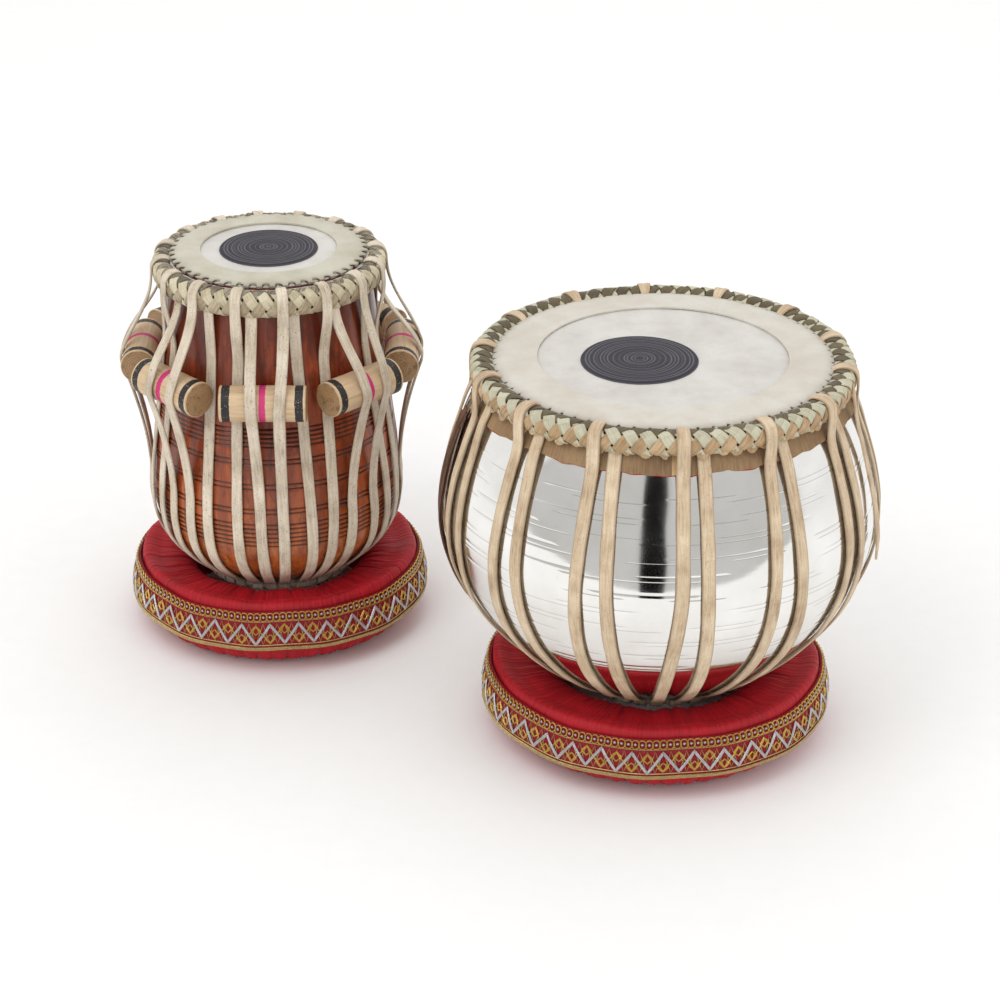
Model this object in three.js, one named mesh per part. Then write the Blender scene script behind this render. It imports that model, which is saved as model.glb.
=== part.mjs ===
// A tabla pair: the small wooden drum (dayan) and the large metal drum (bayan), each standing in a ring
// cushion. Millimetres, +Z up. The origin is on the floor, in the middle of the footprint. Azimuths are in
// degrees from the front of a drum (its -Y side), positive towards +X.
import * as THREE from 'three';

const FACETS = 36;                       // round the turned pieces
const GAP = 0.35;                        // between pieces that touch
const DAYAN_PLACE = [-161, 105];         // drum axes on the floor, before the footprint is centred
const BAYAN_PLACE = [116, -60];

// Heads: a ring of skin on the rim, the playing skin over it, the rim skin and the tuning patch on top.
const SKIN = 1.1;
const PATCH_CROWN = 0.5;
const SLOT_PLACE = 0.45;                 // where a thong passes, from the skin's edge to the braid

// Small drum. Each profile is the outside of the shell, as radius and height, from the base to the rim.
const DAYAN_PROFILE = [
  [46, 48], [59, 52], [67, 58.5], [76, 67], [84.5, 78], [90, 94], [91.5, 110], [90.5, 132],
  [87.8, 160], [84.2, 187], [80.8, 213], [77.3, 240], [74.3, 264], [72.6, 278], [70.5, 288],
];
const DAYAN_BORE = [[0, 150], [38, 150], [58, 172], [60, 288]];
const DAYAN_HEAD = { rim: 288, rimRadius: 70.5, collarRadius: 73.3, collarFoot: 275, chat: 49.3,
                     patch: 35.6, patchPlace: [0, 0] };
const DAYAN_BRAID = { inner: 77.8, outer: 84.4, foot: 270.5, top: 289, corner: 2.8 };
const DAYAN_LOOPS = 16;
const DAYAN_STRAP = { width: 8.4, thickness: 1.8, lanes: 3.4 };
const DAYAN_BASE_RING = { radius: 50, height: 43.8, thickness: 6.4 };

// Tuning dowels, wedged between the shell and the runs of thong.
const GATTA_COUNT = 8;
const GATTA_RADIUS = 13.15;
const GATTA_LENGTH = 62;
const GATTA_HEIGHT = 211;
const GATTA_OUT = 95;                    // from the drum's axis to the dowel's axis
const GATTA_FACETS = 16;
const OVER_GATTA = 5.2;                  // azimuths of the runs in front of a dowel and behind its ends
const BEHIND_GATTA = 15.5;

// Large drum
const BAYAN_PROFILE = [
  [48, 46], [66, 50.5], [80, 58.5], [94, 69.5], [108, 82.5], [121, 97], [132, 112], [141, 130], [147, 150],
  [148.8, 168], [147, 190], [142, 213], [134.5, 236], [126, 255], [119.5, 267], [116.5, 274.2],
];
const BAYAN_WALL = 2;
const BAYAN_HEAD = { rim: 274.2, rimRadius: 116.5, collarRadius: 120.3, collarFoot: 266, chat: 84.9,
                     patch: 39.8, patchPlace: [-16.1, -5.4] };
const BAYAN_COLLAR = { top: 258, foot: 250, thickness: 1.5 };
const BAYAN_BRAID = { inner: 125.6, outer: 130.4, foot: 265, top: 279, corner: 2.2 };
const BAYAN_LOOPS = 14;
const BAYAN_FIRST_LOOP = 6.2;
const BAYAN_STRAP = { width: 9.6, thickness: 1.8, lanes: 2.9 };
const BAYAN_BELLY_LANE = 4;
const BAYAN_BASE_RING = { radius: 54, height: 42.6, thickness: 6 };
const SPARE_THONG = { azimuth: -84, width: 17, thickness: 5 };
const LOOSE_END = { azimuth: 70.5, width: 7, thickness: 1.8 };

// Ring cushions: the section's widest radii, its crown and the ribbon round its side.
const DAYAN_CUSHION = { hole: 60, outer: 108.3, crown: 53.5, ribbonFoot: 20, ribbonTop: 48 };
const BAYAN_CUSHION = { hole: 67, outer: 120, crown: 52.5, ribbonFoot: 19, ribbonTop: 46 };
const RIBBON = 1.2;
const RIBBON_CLEAR = 1;

const SKIN_TONE = new THREE.MeshStandardMaterial({ color: 0xe1d7c8, roughness: 0.6 });
const RIM_SKIN_TONE = new THREE.MeshStandardMaterial({ color: 0xdccfb4, roughness: 0.55 });
const PATCH_BLACK = new THREE.MeshStandardMaterial({ color: 0x2b2a33, roughness: 0.75 });
const THONG_TONE = new THREE.MeshStandardMaterial({ color: 0xcdb48f, roughness: 0.7 });
const BRAID_TONE = new THREE.MeshStandardMaterial({ color: 0xb9ad8c, roughness: 0.7 });
const DARK_THONG_TONE = new THREE.MeshStandardMaterial({ color: 0x5a3a2c, roughness: 0.7 });
const WOOD = new THREE.MeshStandardMaterial({ color: 0x8a3a1c, roughness: 0.35 });
const DOWEL_WOOD = new THREE.MeshStandardMaterial({ color: 0xdcbd94, roughness: 0.55 });
const PLATED = new THREE.MeshStandardMaterial({ color: 0xe4e2dd, roughness: 0.08, metalness: 1 });
const RED_CLOTH = new THREE.MeshStandardMaterial({ color: 0xb40014, roughness: 0.85 });
const RIBBON_TONE = new THREE.MeshStandardMaterial({ color: 0xa56a26, roughness: 0.6, metalness: 0.3 });

const radians = THREE.MathUtils.degToRad;
const lerp = THREE.MathUtils.lerp;

function piece(name, geometry, material, parent) {
  const mesh = new THREE.Mesh(geometry, material);
  mesh.name = name;
  parent.add(mesh);
  return mesh;
}

// A body of revolution about Z. The outline runs anticlockwise, as [radius, height] points.
function turned(outline) {
  const points = outline.map(([radius, height]) => new THREE.Vector2(radius, height));
  return new THREE.LatheGeometry(points, FACETS).rotateX(Math.PI / 2);
}

function turnedRing(outline) {
  return turned([...outline, outline[0]]);
}

// A rectangle with its corners cut off, anticlockwise.
function chamferedSection(inner, outer, foot, top, corner) {
  return [
    [inner + corner, foot], [outer - corner, foot], [outer, foot + corner], [outer, top - corner],
    [outer - corner, top], [inner + corner, top], [inner, top - corner], [inner, foot + corner],
  ];
}

// The outside of a turned shape as a smooth curve through its profile points, rising all the way.
class ProfileCurve {
  constructor(profile) {
    this.curve = new THREE.SplineCurve(profile.map(([radius, height]) => new THREE.Vector2(radius, height)));
  }

  // The place on the curve at a height, found by halving.
  at(height) {
    let low = 0;
    let high = 1;
    for (let halving = 0; halving < 30; halving += 1) {
      const middle = (low + high) / 2;
      if (this.curve.getPoint(middle).y < height) low = middle;
      else high = middle;
    }
    return low;
  }

  // A point a distance out from the surface, measured square to it.
  off(height, distance) {
    const place = this.at(height);
    const point = this.curve.getPoint(place);
    const along = this.curve.getTangent(place);
    return [point.x + along.y * distance, point.y - along.x * distance];
  }

  outline(steps) {
    return this.curve.getPoints(steps).map((point) => [point.x, point.y]);
  }
}

const dayanShell = new ProfileCurve(DAYAN_PROFILE);
const bayanShell = new ProfileCurve(BAYAN_PROFILE);

function polar(azimuth, radius, height) {
  const turn = radians(azimuth);
  return new THREE.Vector3(radius * Math.sin(turn), -radius * Math.cos(turn), height);
}

// A flat band bent along a route of { azimuth, radius, height } stops, its face towards the drum's axis.
// The band is a unit box or an eight-sided rod, cut across at every stop.
function bentBand(stops, width, thickness, rodSides = 0) {
  const steps = stops.length - 1;
  const band = rodSides
    ? new THREE.CylinderGeometry(0.5, 0.5, 1, rodSides, steps).rotateX(Math.PI / 2)
    : new THREE.BoxGeometry(1, 1, 1, 1, 1, steps);
  const points = stops.map((stop) => polar(stop.azimuth, stop.radius, stop.height));
  const frames = points.map((point, index) => {
    const before = points[Math.max(index - 1, 0)];
    const after = points[Math.min(index + 1, steps)];
    const inward = new THREE.Vector3().subVectors(point, before).normalize();
    const onward = new THREE.Vector3().subVectors(after, point).normalize();
    const along = inward.add(onward).normalize();
    const turn = radians(stops[index].azimuth);
    const across = new THREE.Vector3(Math.cos(turn), Math.sin(turn), 0);
    across.addScaledVector(along, -across.dot(along)).normalize();
    return { point, across, out: new THREE.Vector3().crossVectors(along, across) };
  });
  const place = band.attributes.position;
  for (let index = 0; index < place.count; index += 1) {
    const { point, across, out } = frames[Math.round((place.getZ(index) + 0.5) * steps)];
    const spot = point.clone()
      .addScaledVector(across, place.getX(index) * width)
      .addScaledVector(out, place.getY(index) * thickness);
    place.setXYZ(index, spot.x, spot.y, spot.z);
  }
  return band;
}

// One run of thong down the outside of a drum: the stops between the braid and the base ring.
function runStops(sections, azimuthAt) {
  return sections.map(([radius, height]) => ({ azimuth: azimuthAt(height), radius, height }));
}

// The bend that takes a thong over the braid's outer face and top, and down between braid and skin.
function braidBend(braid, strap, centre, slotRadius) {
  const clear = GAP + strap.thickness / 2;
  const over = centre - strap.lanes;
  const outside = braid.outer + clear;
  const above = braid.top + clear;
  const round = braid.corner;
  return [
    { azimuth: over, radius: outside, height: braid.foot + 2 },
    { azimuth: over, radius: outside, height: braid.top - round },
    { azimuth: over, radius: outside - round * 0.4, height: above - round * 0.4 },
    { azimuth: over, radius: outside - round * 1.3, height: above },
    { azimuth: over, radius: slotRadius + 0.6, height: above - 0.5 },
    { azimuth: over + strap.lanes * 0.2, radius: slotRadius, height: braid.top - 1.5 },
    { azimuth: centre + strap.lanes, radius: slotRadius, height: braid.foot - 1 },
  ];
}

// Azimuth of a run at a height, straight between the braid, a middle height and the base.
function laneAt(atBraid, atMiddle, atBase, braidHeight, middleHeight, baseHeight) {
  return (height) => (height > middleHeight
    ? lerp(atMiddle, atBraid, (height - middleHeight) / (braidHeight - middleHeight))
    : lerp(atBase, atMiddle, (height - baseHeight) / (middleHeight - baseHeight)));
}

function addBaseRing(name, { radius, height, thickness }, drum) {
  const ring = new THREE.TorusGeometry(radius, thickness / 2, 6, FACETS);
  piece(`${name}_base_ring`, ring, BRAID_TONE, drum).position.z = height;
}

// The layers of a head, from the rim up.
function addHead(name, head, drum) {
  const { rim, rimRadius, collarRadius, collarFoot, chat, patch, patchPlace } = head;
  const under = rim + GAP;
  const playing = under + SKIN * 0.8 + GAP;
  const upper = playing + SKIN + GAP;
  piece(`${name}_under_ring_skin`, turnedRing([
    [chat, under], [rimRadius - 1, under], [rimRadius - 1, under + SKIN * 0.8], [chat, under + SKIN * 0.8],
  ]), SKIN_TONE, drum);
  piece(`${name}_playing_skin`, turned([
    [0, playing], [rimRadius - 0.5, playing], [collarRadius - SKIN + 0.5, rim - 3],
    [collarRadius, collarFoot], [collarRadius + SKIN, collarFoot],
    [collarRadius + 0.4, rim - 1.5], [rimRadius + 0.5, playing + SKIN], [0, playing + SKIN],
  ]), SKIN_TONE, drum);
  piece(`${name}_rim_skin`, turnedRing([
    [chat, upper], [rimRadius - 0.5, upper], [rimRadius + 0.5, upper + 0.3], [chat, upper + SKIN * 0.8],
  ]), RIM_SKIN_TONE, drum);
  const patchMesh = piece(`${name}_syahi`, turned([
    [0, upper], [patch, upper], [patch - 1, upper + SKIN], [0, upper + SKIN + PATCH_CROWN],
  ]), PATCH_BLACK, drum);
  patchMesh.position.set(...patchPlace, 0);
}

function addBraid(name, braid, drum) {
  const section = chamferedSection(braid.inner, braid.outer, braid.foot, braid.top, braid.corner);
  piece(`${name}_braid`, turnedRing(section), BRAID_TONE, drum);
}

function addDayan(parent) {
  const drum = new THREE.Group();
  drum.position.set(...DAYAN_PLACE, 0);
  parent.add(drum);

  const outline = [[0, DAYAN_PROFILE[0][1]], ...dayanShell.outline(DAYAN_PROFILE.length - 1)];
  piece('dayan_shell', turned([...outline, ...[...DAYAN_BORE].reverse()]), WOOD, drum);
  addHead('dayan', DAYAN_HEAD, drum);
  addBraid('dayan', DAYAN_BRAID, drum);
  addBaseRing('dayan', DAYAN_BASE_RING, drum);

  for (let index = 0; index < GATTA_COUNT; index += 1) {
    const azimuth = (index * 360) / GATTA_COUNT;
    const dowel = new THREE.CylinderGeometry(GATTA_RADIUS, GATTA_RADIUS, GATTA_LENGTH, GATTA_FACETS);
    const gatta = piece(`gatta_${index + 1}`, dowel.rotateZ(Math.PI / 2), DOWEL_WOOD, drum);
    gatta.position.copy(polar(azimuth, GATTA_OUT, GATTA_HEIGHT));
    gatta.rotation.z = radians(azimuth);
  }

  // Runs in front of a dowel leave it on the two tangents to the braid and to the belly.
  const clear = GAP + DAYAN_STRAP.thickness / 2;
  const wrap = GATTA_RADIUS + clear + 0.5;
  const overDowel = [22, 2, -14].map((lean) => [
    GATTA_OUT + 0.5 + wrap * Math.cos(radians(lean)), GATTA_HEIGHT + wrap * Math.sin(radians(lean)),
  ]);
  const behindDowel = [GATTA_HEIGHT + 14, GATTA_HEIGHT - 6].map((height) => dayanShell.off(height, clear));
  const aboveBelly = [186, 158].map((height) => dayanShell.off(height, 1.8));
  const belly = [128, 103, 84, 70, 59].map((height) => dayanShell.off(height, 2.6));
  const foot = [DAYAN_BASE_RING.radius + 7, DAYAN_BASE_RING.height + 2.6];
  const routes = {
    over: [...overDowel, ...belly, foot],
    behind: [...behindDowel, ...aboveBelly, ...belly, foot],
  };

  const slotRadius = lerp(DAYAN_HEAD.collarRadius + SKIN, DAYAN_BRAID.inner, SLOT_PLACE);
  const spacing = 360 / DAYAN_LOOPS;
  for (let index = 0; index < DAYAN_LOOPS; index += 1) {
    const centre = (index - 0.5) * spacing;
    const leftOfDowel = index % 2 === 0;
    const dowel = centre + (leftOfDowel ? 0.5 : -0.5) * spacing;
    const side = leftOfDowel ? -1 : 1;
    const lanes = leftOfDowel ? [BEHIND_GATTA, OVER_GATTA] : [OVER_GATTA, BEHIND_GATTA];
    const [firstRoute, lastRoute] = leftOfDowel ? ['behind', 'over'] : ['over', 'behind'];
    const lane = (sign, offset) => laneAt(
      centre + sign * DAYAN_STRAP.lanes, dowel + side * offset, centre + (sign * spacing) / 4,
      DAYAN_BRAID.foot, GATTA_HEIGHT, DAYAN_BASE_RING.height,
    );
    const stops = [
      ...runStops(routes[firstRoute], lane(-1, lanes[0])).reverse(),
      ...braidBend(DAYAN_BRAID, DAYAN_STRAP, centre, slotRadius),
      ...runStops(routes[lastRoute], lane(1, lanes[1])),
    ];
    const band = bentBand(stops, DAYAN_STRAP.width, DAYAN_STRAP.thickness);
    piece(`dayan_thong_loop_${index + 1}`, band, THONG_TONE, drum);
  }
}

function addBayan(parent) {
  const drum = new THREE.Group();
  drum.position.set(...BAYAN_PLACE, 0);
  parent.add(drum);

  const floor = BAYAN_PROFILE[0][1];
  const insideHeights = BAYAN_PROFILE.filter((stop, index) => index % 2).map(([, height]) => height);
  const inside = insideHeights.map((height) => bayanShell.off(height, -BAYAN_WALL));
  piece('bayan_shell', turned([
    [0, floor], ...bayanShell.outline(BAYAN_PROFILE.length - 1), ...inside.reverse(), [0, floor + BAYAN_WALL],
  ]), PLATED, drum);
  addHead('bayan', BAYAN_HEAD, drum);
  addBraid('bayan', BAYAN_BRAID, drum);
  addBaseRing('bayan', BAYAN_BASE_RING, drum);

  const { top, foot, thickness } = BAYAN_COLLAR;
  piece('bayan_collar', turnedRing([
    bayanShell.off(foot, GAP), bayanShell.off(foot, GAP + thickness),
    bayanShell.off(top, GAP + thickness), bayanShell.off(top, GAP),
  ]), RIM_SKIN_TONE, drum);

  const clear = GAP + BAYAN_STRAP.thickness / 2;
  const overCollar = [top, foot].map((height) => bayanShell.off(height - 0.5, GAP + thickness + clear + 0.3));
  const free = [BAYAN_BRAID.outer + clear, foot];
  const belly = [230, 202, 172, 144, 118, 92, 70, 55].map((height) => bayanShell.off(height, 2.2));
  const end = [BAYAN_BASE_RING.radius + 7, BAYAN_BASE_RING.height + 3];
  const slotRadius = lerp(BAYAN_HEAD.collarRadius + SKIN, BAYAN_BRAID.inner, SLOT_PLACE);
  const spacing = 360 / BAYAN_LOOPS;
  const widest = 165;
  for (let index = 0; index < BAYAN_LOOPS; index += 1) {
    const centre = BAYAN_FIRST_LOOP + index * spacing;
    const lane = (sign) => laneAt(
      centre + sign * BAYAN_STRAP.lanes, centre + sign * BAYAN_BELLY_LANE, centre + (sign * spacing) / 4,
      BAYAN_BRAID.foot, widest, BAYAN_BASE_RING.height,
    );
    const stops = [
      ...runStops([free, ...belly, end], lane(-1)).reverse(),
      ...braidBend(BAYAN_BRAID, BAYAN_STRAP, centre, slotRadius),
      ...runStops([...overCollar, ...belly, end], lane(1)),
    ];
    const band = bentBand(stops, BAYAN_STRAP.width, BAYAN_STRAP.thickness);
    piece(`bayan_thong_loop_${index + 1}`, band, THONG_TONE, drum);
  }

  const spareHeights = [244, 225, 200, 175, 150, 125, 105];
  const spareOff = GAP + SPARE_THONG.thickness / 2 + 1;
  const spareStops = runStops(spareHeights.map((height) => bayanShell.off(height, spareOff)),
                              () => SPARE_THONG.azimuth);
  piece('bayan_spare_thong', bentBand(spareStops, SPARE_THONG.width, SPARE_THONG.thickness),
        DARK_THONG_TONE, drum);

  const looseRoute = [
    [132.2, 270], [133.2, 262], [136, 248], [140.5, 232], [145, 215], [149.5, 197], [152.5, 180], [154, 164],
    [153.6, 150],
  ];
  piece('bayan_loose_thong_end', bentBand(
    runStops(looseRoute, () => LOOSE_END.azimuth), LOOSE_END.width, LOOSE_END.thickness, 8,
  ), THONG_TONE, drum);
}

// A stuffed ring with a flat underside, and the ribbon round its side.
function addCushion(name, cushion, place, parent) {
  const { hole, outer, crown, ribbonFoot, ribbonTop } = cushion;
  const middle = (hole + outer) / 2;
  const side = new ProfileCurve([
    [middle + 4, 0], [middle + 12, 2.5], [outer - 6, 9.5], [outer, 21], [outer - 1.2, 34],
    [outer - 5, ribbonTop + 0.5], [middle + 6, crown],
  ]);
  const inside = [
    [hole + 12, crown - 0.5], [hole + 4, crown - 4.5], [hole + 0.5, crown - 10], [hole, 26], [hole + 3, 10],
    [middle - 10, 0],
  ];
  const group = new THREE.Group();
  group.position.set(...place, 0);
  parent.add(group);
  piece(`${name}_cushion`, turnedRing([...side.outline(8), ...inside]), RED_CLOTH, group);

  const heights = [ribbonFoot, 28, 38, ribbonTop];
  const back = heights.map((height) => side.off(height, RIBBON_CLEAR));
  const face = heights.map((height) => side.off(height, RIBBON_CLEAR + RIBBON));
  piece(`${name}_cushion_ribbon`, turnedRing([...face, ...back.reverse()]), RIBBON_TONE, group);
}

const tabla = new THREE.Group();
addCushion('dayan', DAYAN_CUSHION, DAYAN_PLACE, tabla);
addCushion('bayan', BAYAN_CUSHION, BAYAN_PLACE, tabla);
addDayan(tabla);
addBayan(tabla);

// The origin goes to the middle of the footprint, measured without the loose end of thong.
const footprint = new THREE.Box3();
tabla.updateMatrixWorld(true);
tabla.traverse((part) => {
  if (part.isMesh && part.name !== 'bayan_loose_thong_end') footprint.expandByObject(part);
});
const middle = footprint.getCenter(new THREE.Vector3());
tabla.position.set(-middle.x, -middle.y, 0);

export default tabla;
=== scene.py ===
import math
import random

import bmesh
import bpy
import numpy as np
from mathutils import Matrix, Vector, noise
from mathutils.bvhtree import BVHTree


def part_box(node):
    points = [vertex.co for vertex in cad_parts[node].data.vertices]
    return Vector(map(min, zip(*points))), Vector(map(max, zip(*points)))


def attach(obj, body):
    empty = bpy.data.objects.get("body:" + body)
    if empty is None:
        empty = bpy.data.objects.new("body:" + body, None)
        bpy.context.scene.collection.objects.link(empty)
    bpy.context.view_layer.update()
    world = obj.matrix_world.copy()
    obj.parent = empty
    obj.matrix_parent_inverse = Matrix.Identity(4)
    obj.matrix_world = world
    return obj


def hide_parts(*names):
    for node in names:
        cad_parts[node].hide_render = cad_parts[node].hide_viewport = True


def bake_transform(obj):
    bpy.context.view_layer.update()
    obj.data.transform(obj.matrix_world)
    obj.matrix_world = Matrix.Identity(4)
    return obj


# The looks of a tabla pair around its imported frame. Metres, +Z up. Azimuths are in degrees from the front
# of a drum (its -Y side), positive towards +X.
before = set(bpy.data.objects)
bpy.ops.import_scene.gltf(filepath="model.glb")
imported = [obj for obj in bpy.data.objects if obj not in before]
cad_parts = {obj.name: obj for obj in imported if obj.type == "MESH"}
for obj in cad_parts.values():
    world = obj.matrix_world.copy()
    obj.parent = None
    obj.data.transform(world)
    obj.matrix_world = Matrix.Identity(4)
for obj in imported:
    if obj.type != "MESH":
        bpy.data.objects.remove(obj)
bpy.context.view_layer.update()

MM = 0.001
TURN = 2 * math.pi


# ---------------------------------------------------------------- camera, first of all

CAMERA_PLACE = (0.0082, -1.9062, 1.0775)
CAMERA_TILT = 63.79                 # degrees up from looking straight down
CAMERA_LENS = 107.2                 # millimetres, on a 36 mm sensor


def add_camera():
    camera = bpy.data.cameras.new("camera")
    camera.lens = CAMERA_LENS
    camera.sensor_width = 36
    camera.clip_start = 0.05
    place = bpy.data.objects.new("camera", camera)
    place.location = CAMERA_PLACE
    place.rotation_euler = (math.radians(CAMERA_TILT), 0, 0)
    bpy.context.scene.collection.objects.link(place)
    bpy.context.scene.camera = place


add_camera()


# ---------------------------------------------------------------- curves and outlines

class Curve:
    """A smooth curve through points, measured by the distance along it."""

    def __init__(self, points):
        self.points = np.array(points, float)
        steps = np.linalg.norm(np.diff(self.points, axis=0), axis=1)
        self.stops = np.concatenate([[0], np.cumsum(steps)])
        self.length = self.stops[-1]
        self.slopes = np.gradient(self.points, self.stops, axis=0)

    def at(self, distances):
        index = np.clip(np.searchsorted(self.stops, distances, side="right") - 1, 0, len(self.stops) - 2)
        span = (self.stops[index + 1] - self.stops[index])[:, None]
        share = (np.asarray(distances) - self.stops[index])[:, None] / span
        first = (1 + 2 * share) * (1 - share) ** 2 * self.points[index]
        second = share ** 2 * (3 - 2 * share) * self.points[index + 1]
        leaving = share * (1 - share) ** 2 * span * self.slopes[index]
        arriving = share ** 2 * (share - 1) * span * self.slopes[index + 1]
        return first + second + leaving + arriving

    def spread(self, step):
        return self.at(np.linspace(0, self.length, max(2, int(math.ceil(self.length / step)) + 1)))


def unit(vectors):
    """Vectors made one long."""
    return vectors / np.linalg.norm(vectors, axis=-1, keepdims=True)


class Outline:
    """The outside of a turned shape, as [radius, height] points that rise all the way."""

    STEP = 0.4 * MM

    def __init__(self, points):
        self.points = Curve(points).spread(self.STEP)
        slopes = unit(np.gradient(self.points, axis=0))
        self.normals = np.column_stack([slopes[:, 1], -slopes[:, 0]])
        self.low = self.points[0, 1]
        self.high = self.points[-1, 1]

    def off(self, heights, distance):
        """Points a distance out from the surface, measured square to it, one for each height."""
        heights = np.atleast_1d(np.asarray(heights, float))
        columns = [self.points[:, 0], self.normals[:, 0], self.normals[:, 1]]
        radius, outward, upward = (np.interp(heights, self.points[:, 1], column) for column in columns)
        return np.column_stack([radius + outward * distance, heights + upward * distance])

    def radius(self, height):
        return float(np.interp(height, self.points[:, 1], self.points[:, 0]))


def rings_of(node, centre, side):
    """The [radius, height] rings of a turned node's corners, on its outer (1) or inner (-1) side."""
    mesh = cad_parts[node].data
    rings = {}
    for face in mesh.polygons:
        outward = Vector((face.center.x - centre.x, face.center.y - centre.y, 0)).normalized()
        if face.normal.dot(outward) * side < 0.02:
            continue
        for index in face.vertices:
            corner = mesh.vertices[index].co
            radius = math.hypot(corner.x - centre.x, corner.y - centre.y)
            height = round(corner.z, 4)
            rings[height] = max(radius, rings.get(height, 0))
    return [(rings[height], height) for height in sorted(rings)]


def middle_of(node):
    low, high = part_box(node)
    return (low + high) / 2


class Upright:
    """An upright axis that pieces are turned about."""

    def __init__(self, axis):
        self.axis = axis

    def round(self, azimuths, radii, heights):
        """Points about the axis, from arrays of azimuths in degrees, radii and heights."""
        turn = np.radians(azimuths)
        spots = [self.axis.x + radii * np.sin(turn), self.axis.y - radii * np.cos(turn), heights + 0 * turn]
        return np.stack(np.broadcast_arrays(*spots), axis=-1)

    def ways(self, azimuths, outward, upward):
        """Directions about the axis, from their outward and upward shares."""
        turn = np.radians(azimuths)
        return np.stack(np.broadcast_arrays(outward * np.sin(turn), -outward * np.cos(turn), upward), axis=-1)


class Drum(Upright):
    """A drum's name, axis and shell, as the frame has them."""

    def __init__(self, name):
        super().__init__(middle_of(f"{name}_shell"))
        self.name = name
        self.outside = Outline(rings_of(f"{name}_shell", self.axis, 1))
        self.inside = rings_of(f"{name}_shell", self.axis, -1)


dayan = Drum("dayan")
bayan = Drum("bayan")
DRUMS = (dayan, bayan)


def wander(distances, seed, reach=25 * MM):
    """Smooth noise from -1 to 1 along a strand, the same on each run for one seed."""
    return np.array([noise.noise(Vector((distance / reach, seed * 7.31, 0.5))) for distance in distances])


def ripple(points, reach, seed=0.0):
    """Smooth noise from -1 to 1 at points of a surface."""
    flat = points.reshape(-1, 3) / reach + seed
    return np.array([noise.noise(point) for point in flat]).reshape(points.shape[:-1])


# ---------------------------------------------------------------- meshes

def swept(path, face_way, half_width, half_thickness, section, closed=False, seed=0.0):
    """A section at each point of a path, its broad face looking along face_way, and where each of its points
    lies on the strip. half_width and half_thickness may change along the path."""
    along = np.gradient(path, axis=0)
    if closed:
        along = np.roll(path, -1, axis=0) - np.roll(path, 1, axis=0)
    along = unit(along)
    sideways = unit(np.cross(along, face_way))
    facing = np.cross(sideways, along)
    half_width = np.broadcast_to(half_width, len(path))[:, None]
    half_thickness = np.broadcast_to(half_thickness, len(path))[:, None]
    side = section[None, :, 0] * half_width
    rise = section[None, :, 1] * half_thickness
    rings = path[:, None] + sideways[:, None] * side[..., None] + facing[:, None] * rise[..., None]
    steps = np.linalg.norm(np.diff(path, axis=0), axis=1)
    run = np.concatenate([[0], np.cumsum(steps)])[:, None]
    return rings, np.stack(np.broadcast_arrays(side, run, np.full((1, 1), float(seed))), axis=-1)


class Pile:
    """The points and faces of one piece, gathered part by part."""

    def __init__(self):
        self.points = []
        self.faces = []
        self.finish = []
        self.lay = []
        self.shade = []
        self.count = 0

    def grid(self, points, wrap_rows=False, wrap_columns=False, cap=False, finish=0, lay=None, shade=None):
        """Rows of points joined into a surface. cap closes both ends of wrapped columns. lay says where each
        point lies on its strip (across, along, seed), and shade is a number for the material to use."""
        rows, columns = points.shape[:2]
        index = np.arange(rows * columns).reshape(rows, columns) + self.count
        if wrap_rows:
            index = np.vstack([index, index[:1]])
        if wrap_columns:
            index = np.hstack([index, index[:, :1]])
        around = [index[:-1, :-1], index[1:, :-1], index[1:, 1:], index[:-1, 1:]]
        quads = np.stack(around, axis=-1).reshape(-1, 4)
        faces = quads.tolist()
        if cap:
            faces.append(index[0, :columns].tolist())
            faces.append(index[-1, :columns][::-1].tolist())
        flat = points.reshape(-1, 3)
        if (wrap_columns and (cap or wrap_rows)) and self.volume(flat, quads - self.count) < 0:
            faces = [face[::-1] for face in faces]
        self.points.append(flat)
        self.faces.extend(faces)
        self.finish.extend([finish] * len(faces))
        self.lay.append(np.zeros((len(flat), 3)) if lay is None else lay.reshape(-1, 3))
        shade = 0.0 if shade is None else shade
        self.shade.append(np.broadcast_to(shade, (rows, columns)).ravel())
        self.count += len(flat)

    @staticmethod
    def volume(points, quads):
        """Six times the space inside the quads, above zero when they face out."""
        a, b, c, d = (points[quads[:, corner]] - points.mean(axis=0) for corner in range(4))
        return float((np.cross(a, b) * c).sum() + (np.cross(a, c) * d).sum())

    def strand(self, path, face_way, half_width, half_thickness, section, closed=False, finish=0, seed=0.0):
        """A strip of a section swept along a path."""
        rings, lay = swept(path, face_way, half_width, half_thickness, section, closed, seed)
        self.grid(rings, wrap_rows=closed, wrap_columns=True, cap=not closed, finish=finish, lay=lay)

    def build(self, name, *materials, smooth_angle=50.0, weld=False):
        """The piece as an object of the scene."""
        mesh = bpy.data.meshes.new(name)
        mesh.from_pydata(np.concatenate(self.points).tolist(), [], self.faces)
        for material in materials:
            mesh.materials.append(material)
        mesh.polygons.foreach_set("material_index", self.finish)
        lay = mesh.attributes.new("lay", "FLOAT_VECTOR", "POINT")
        lay.data.foreach_set("vector", np.concatenate(self.lay).ravel().astype(np.float32))
        shade = mesh.attributes.new("shade", "FLOAT", "POINT")
        shade.data.foreach_set("value", np.concatenate(self.shade).astype(np.float32))
        if weld:
            weld_points(mesh)
        mesh.polygons.foreach_set("use_smooth", [True] * len(mesh.polygons))
        mesh.update()
        mesh.set_sharp_from_angle(angle=math.radians(smooth_angle))
        piece = bpy.data.objects.new(name, mesh)
        bpy.context.scene.collection.objects.link(piece)
        return piece


def weld_points(mesh):
    """Joins the points that lie together, such as a lathe's on its axis."""
    loose = bmesh.new()
    loose.from_mesh(mesh)
    bmesh.ops.remove_doubles(loose, verts=loose.verts, dist=0.01 * MM)
    loose.to_mesh(mesh)
    loose.free()


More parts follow.
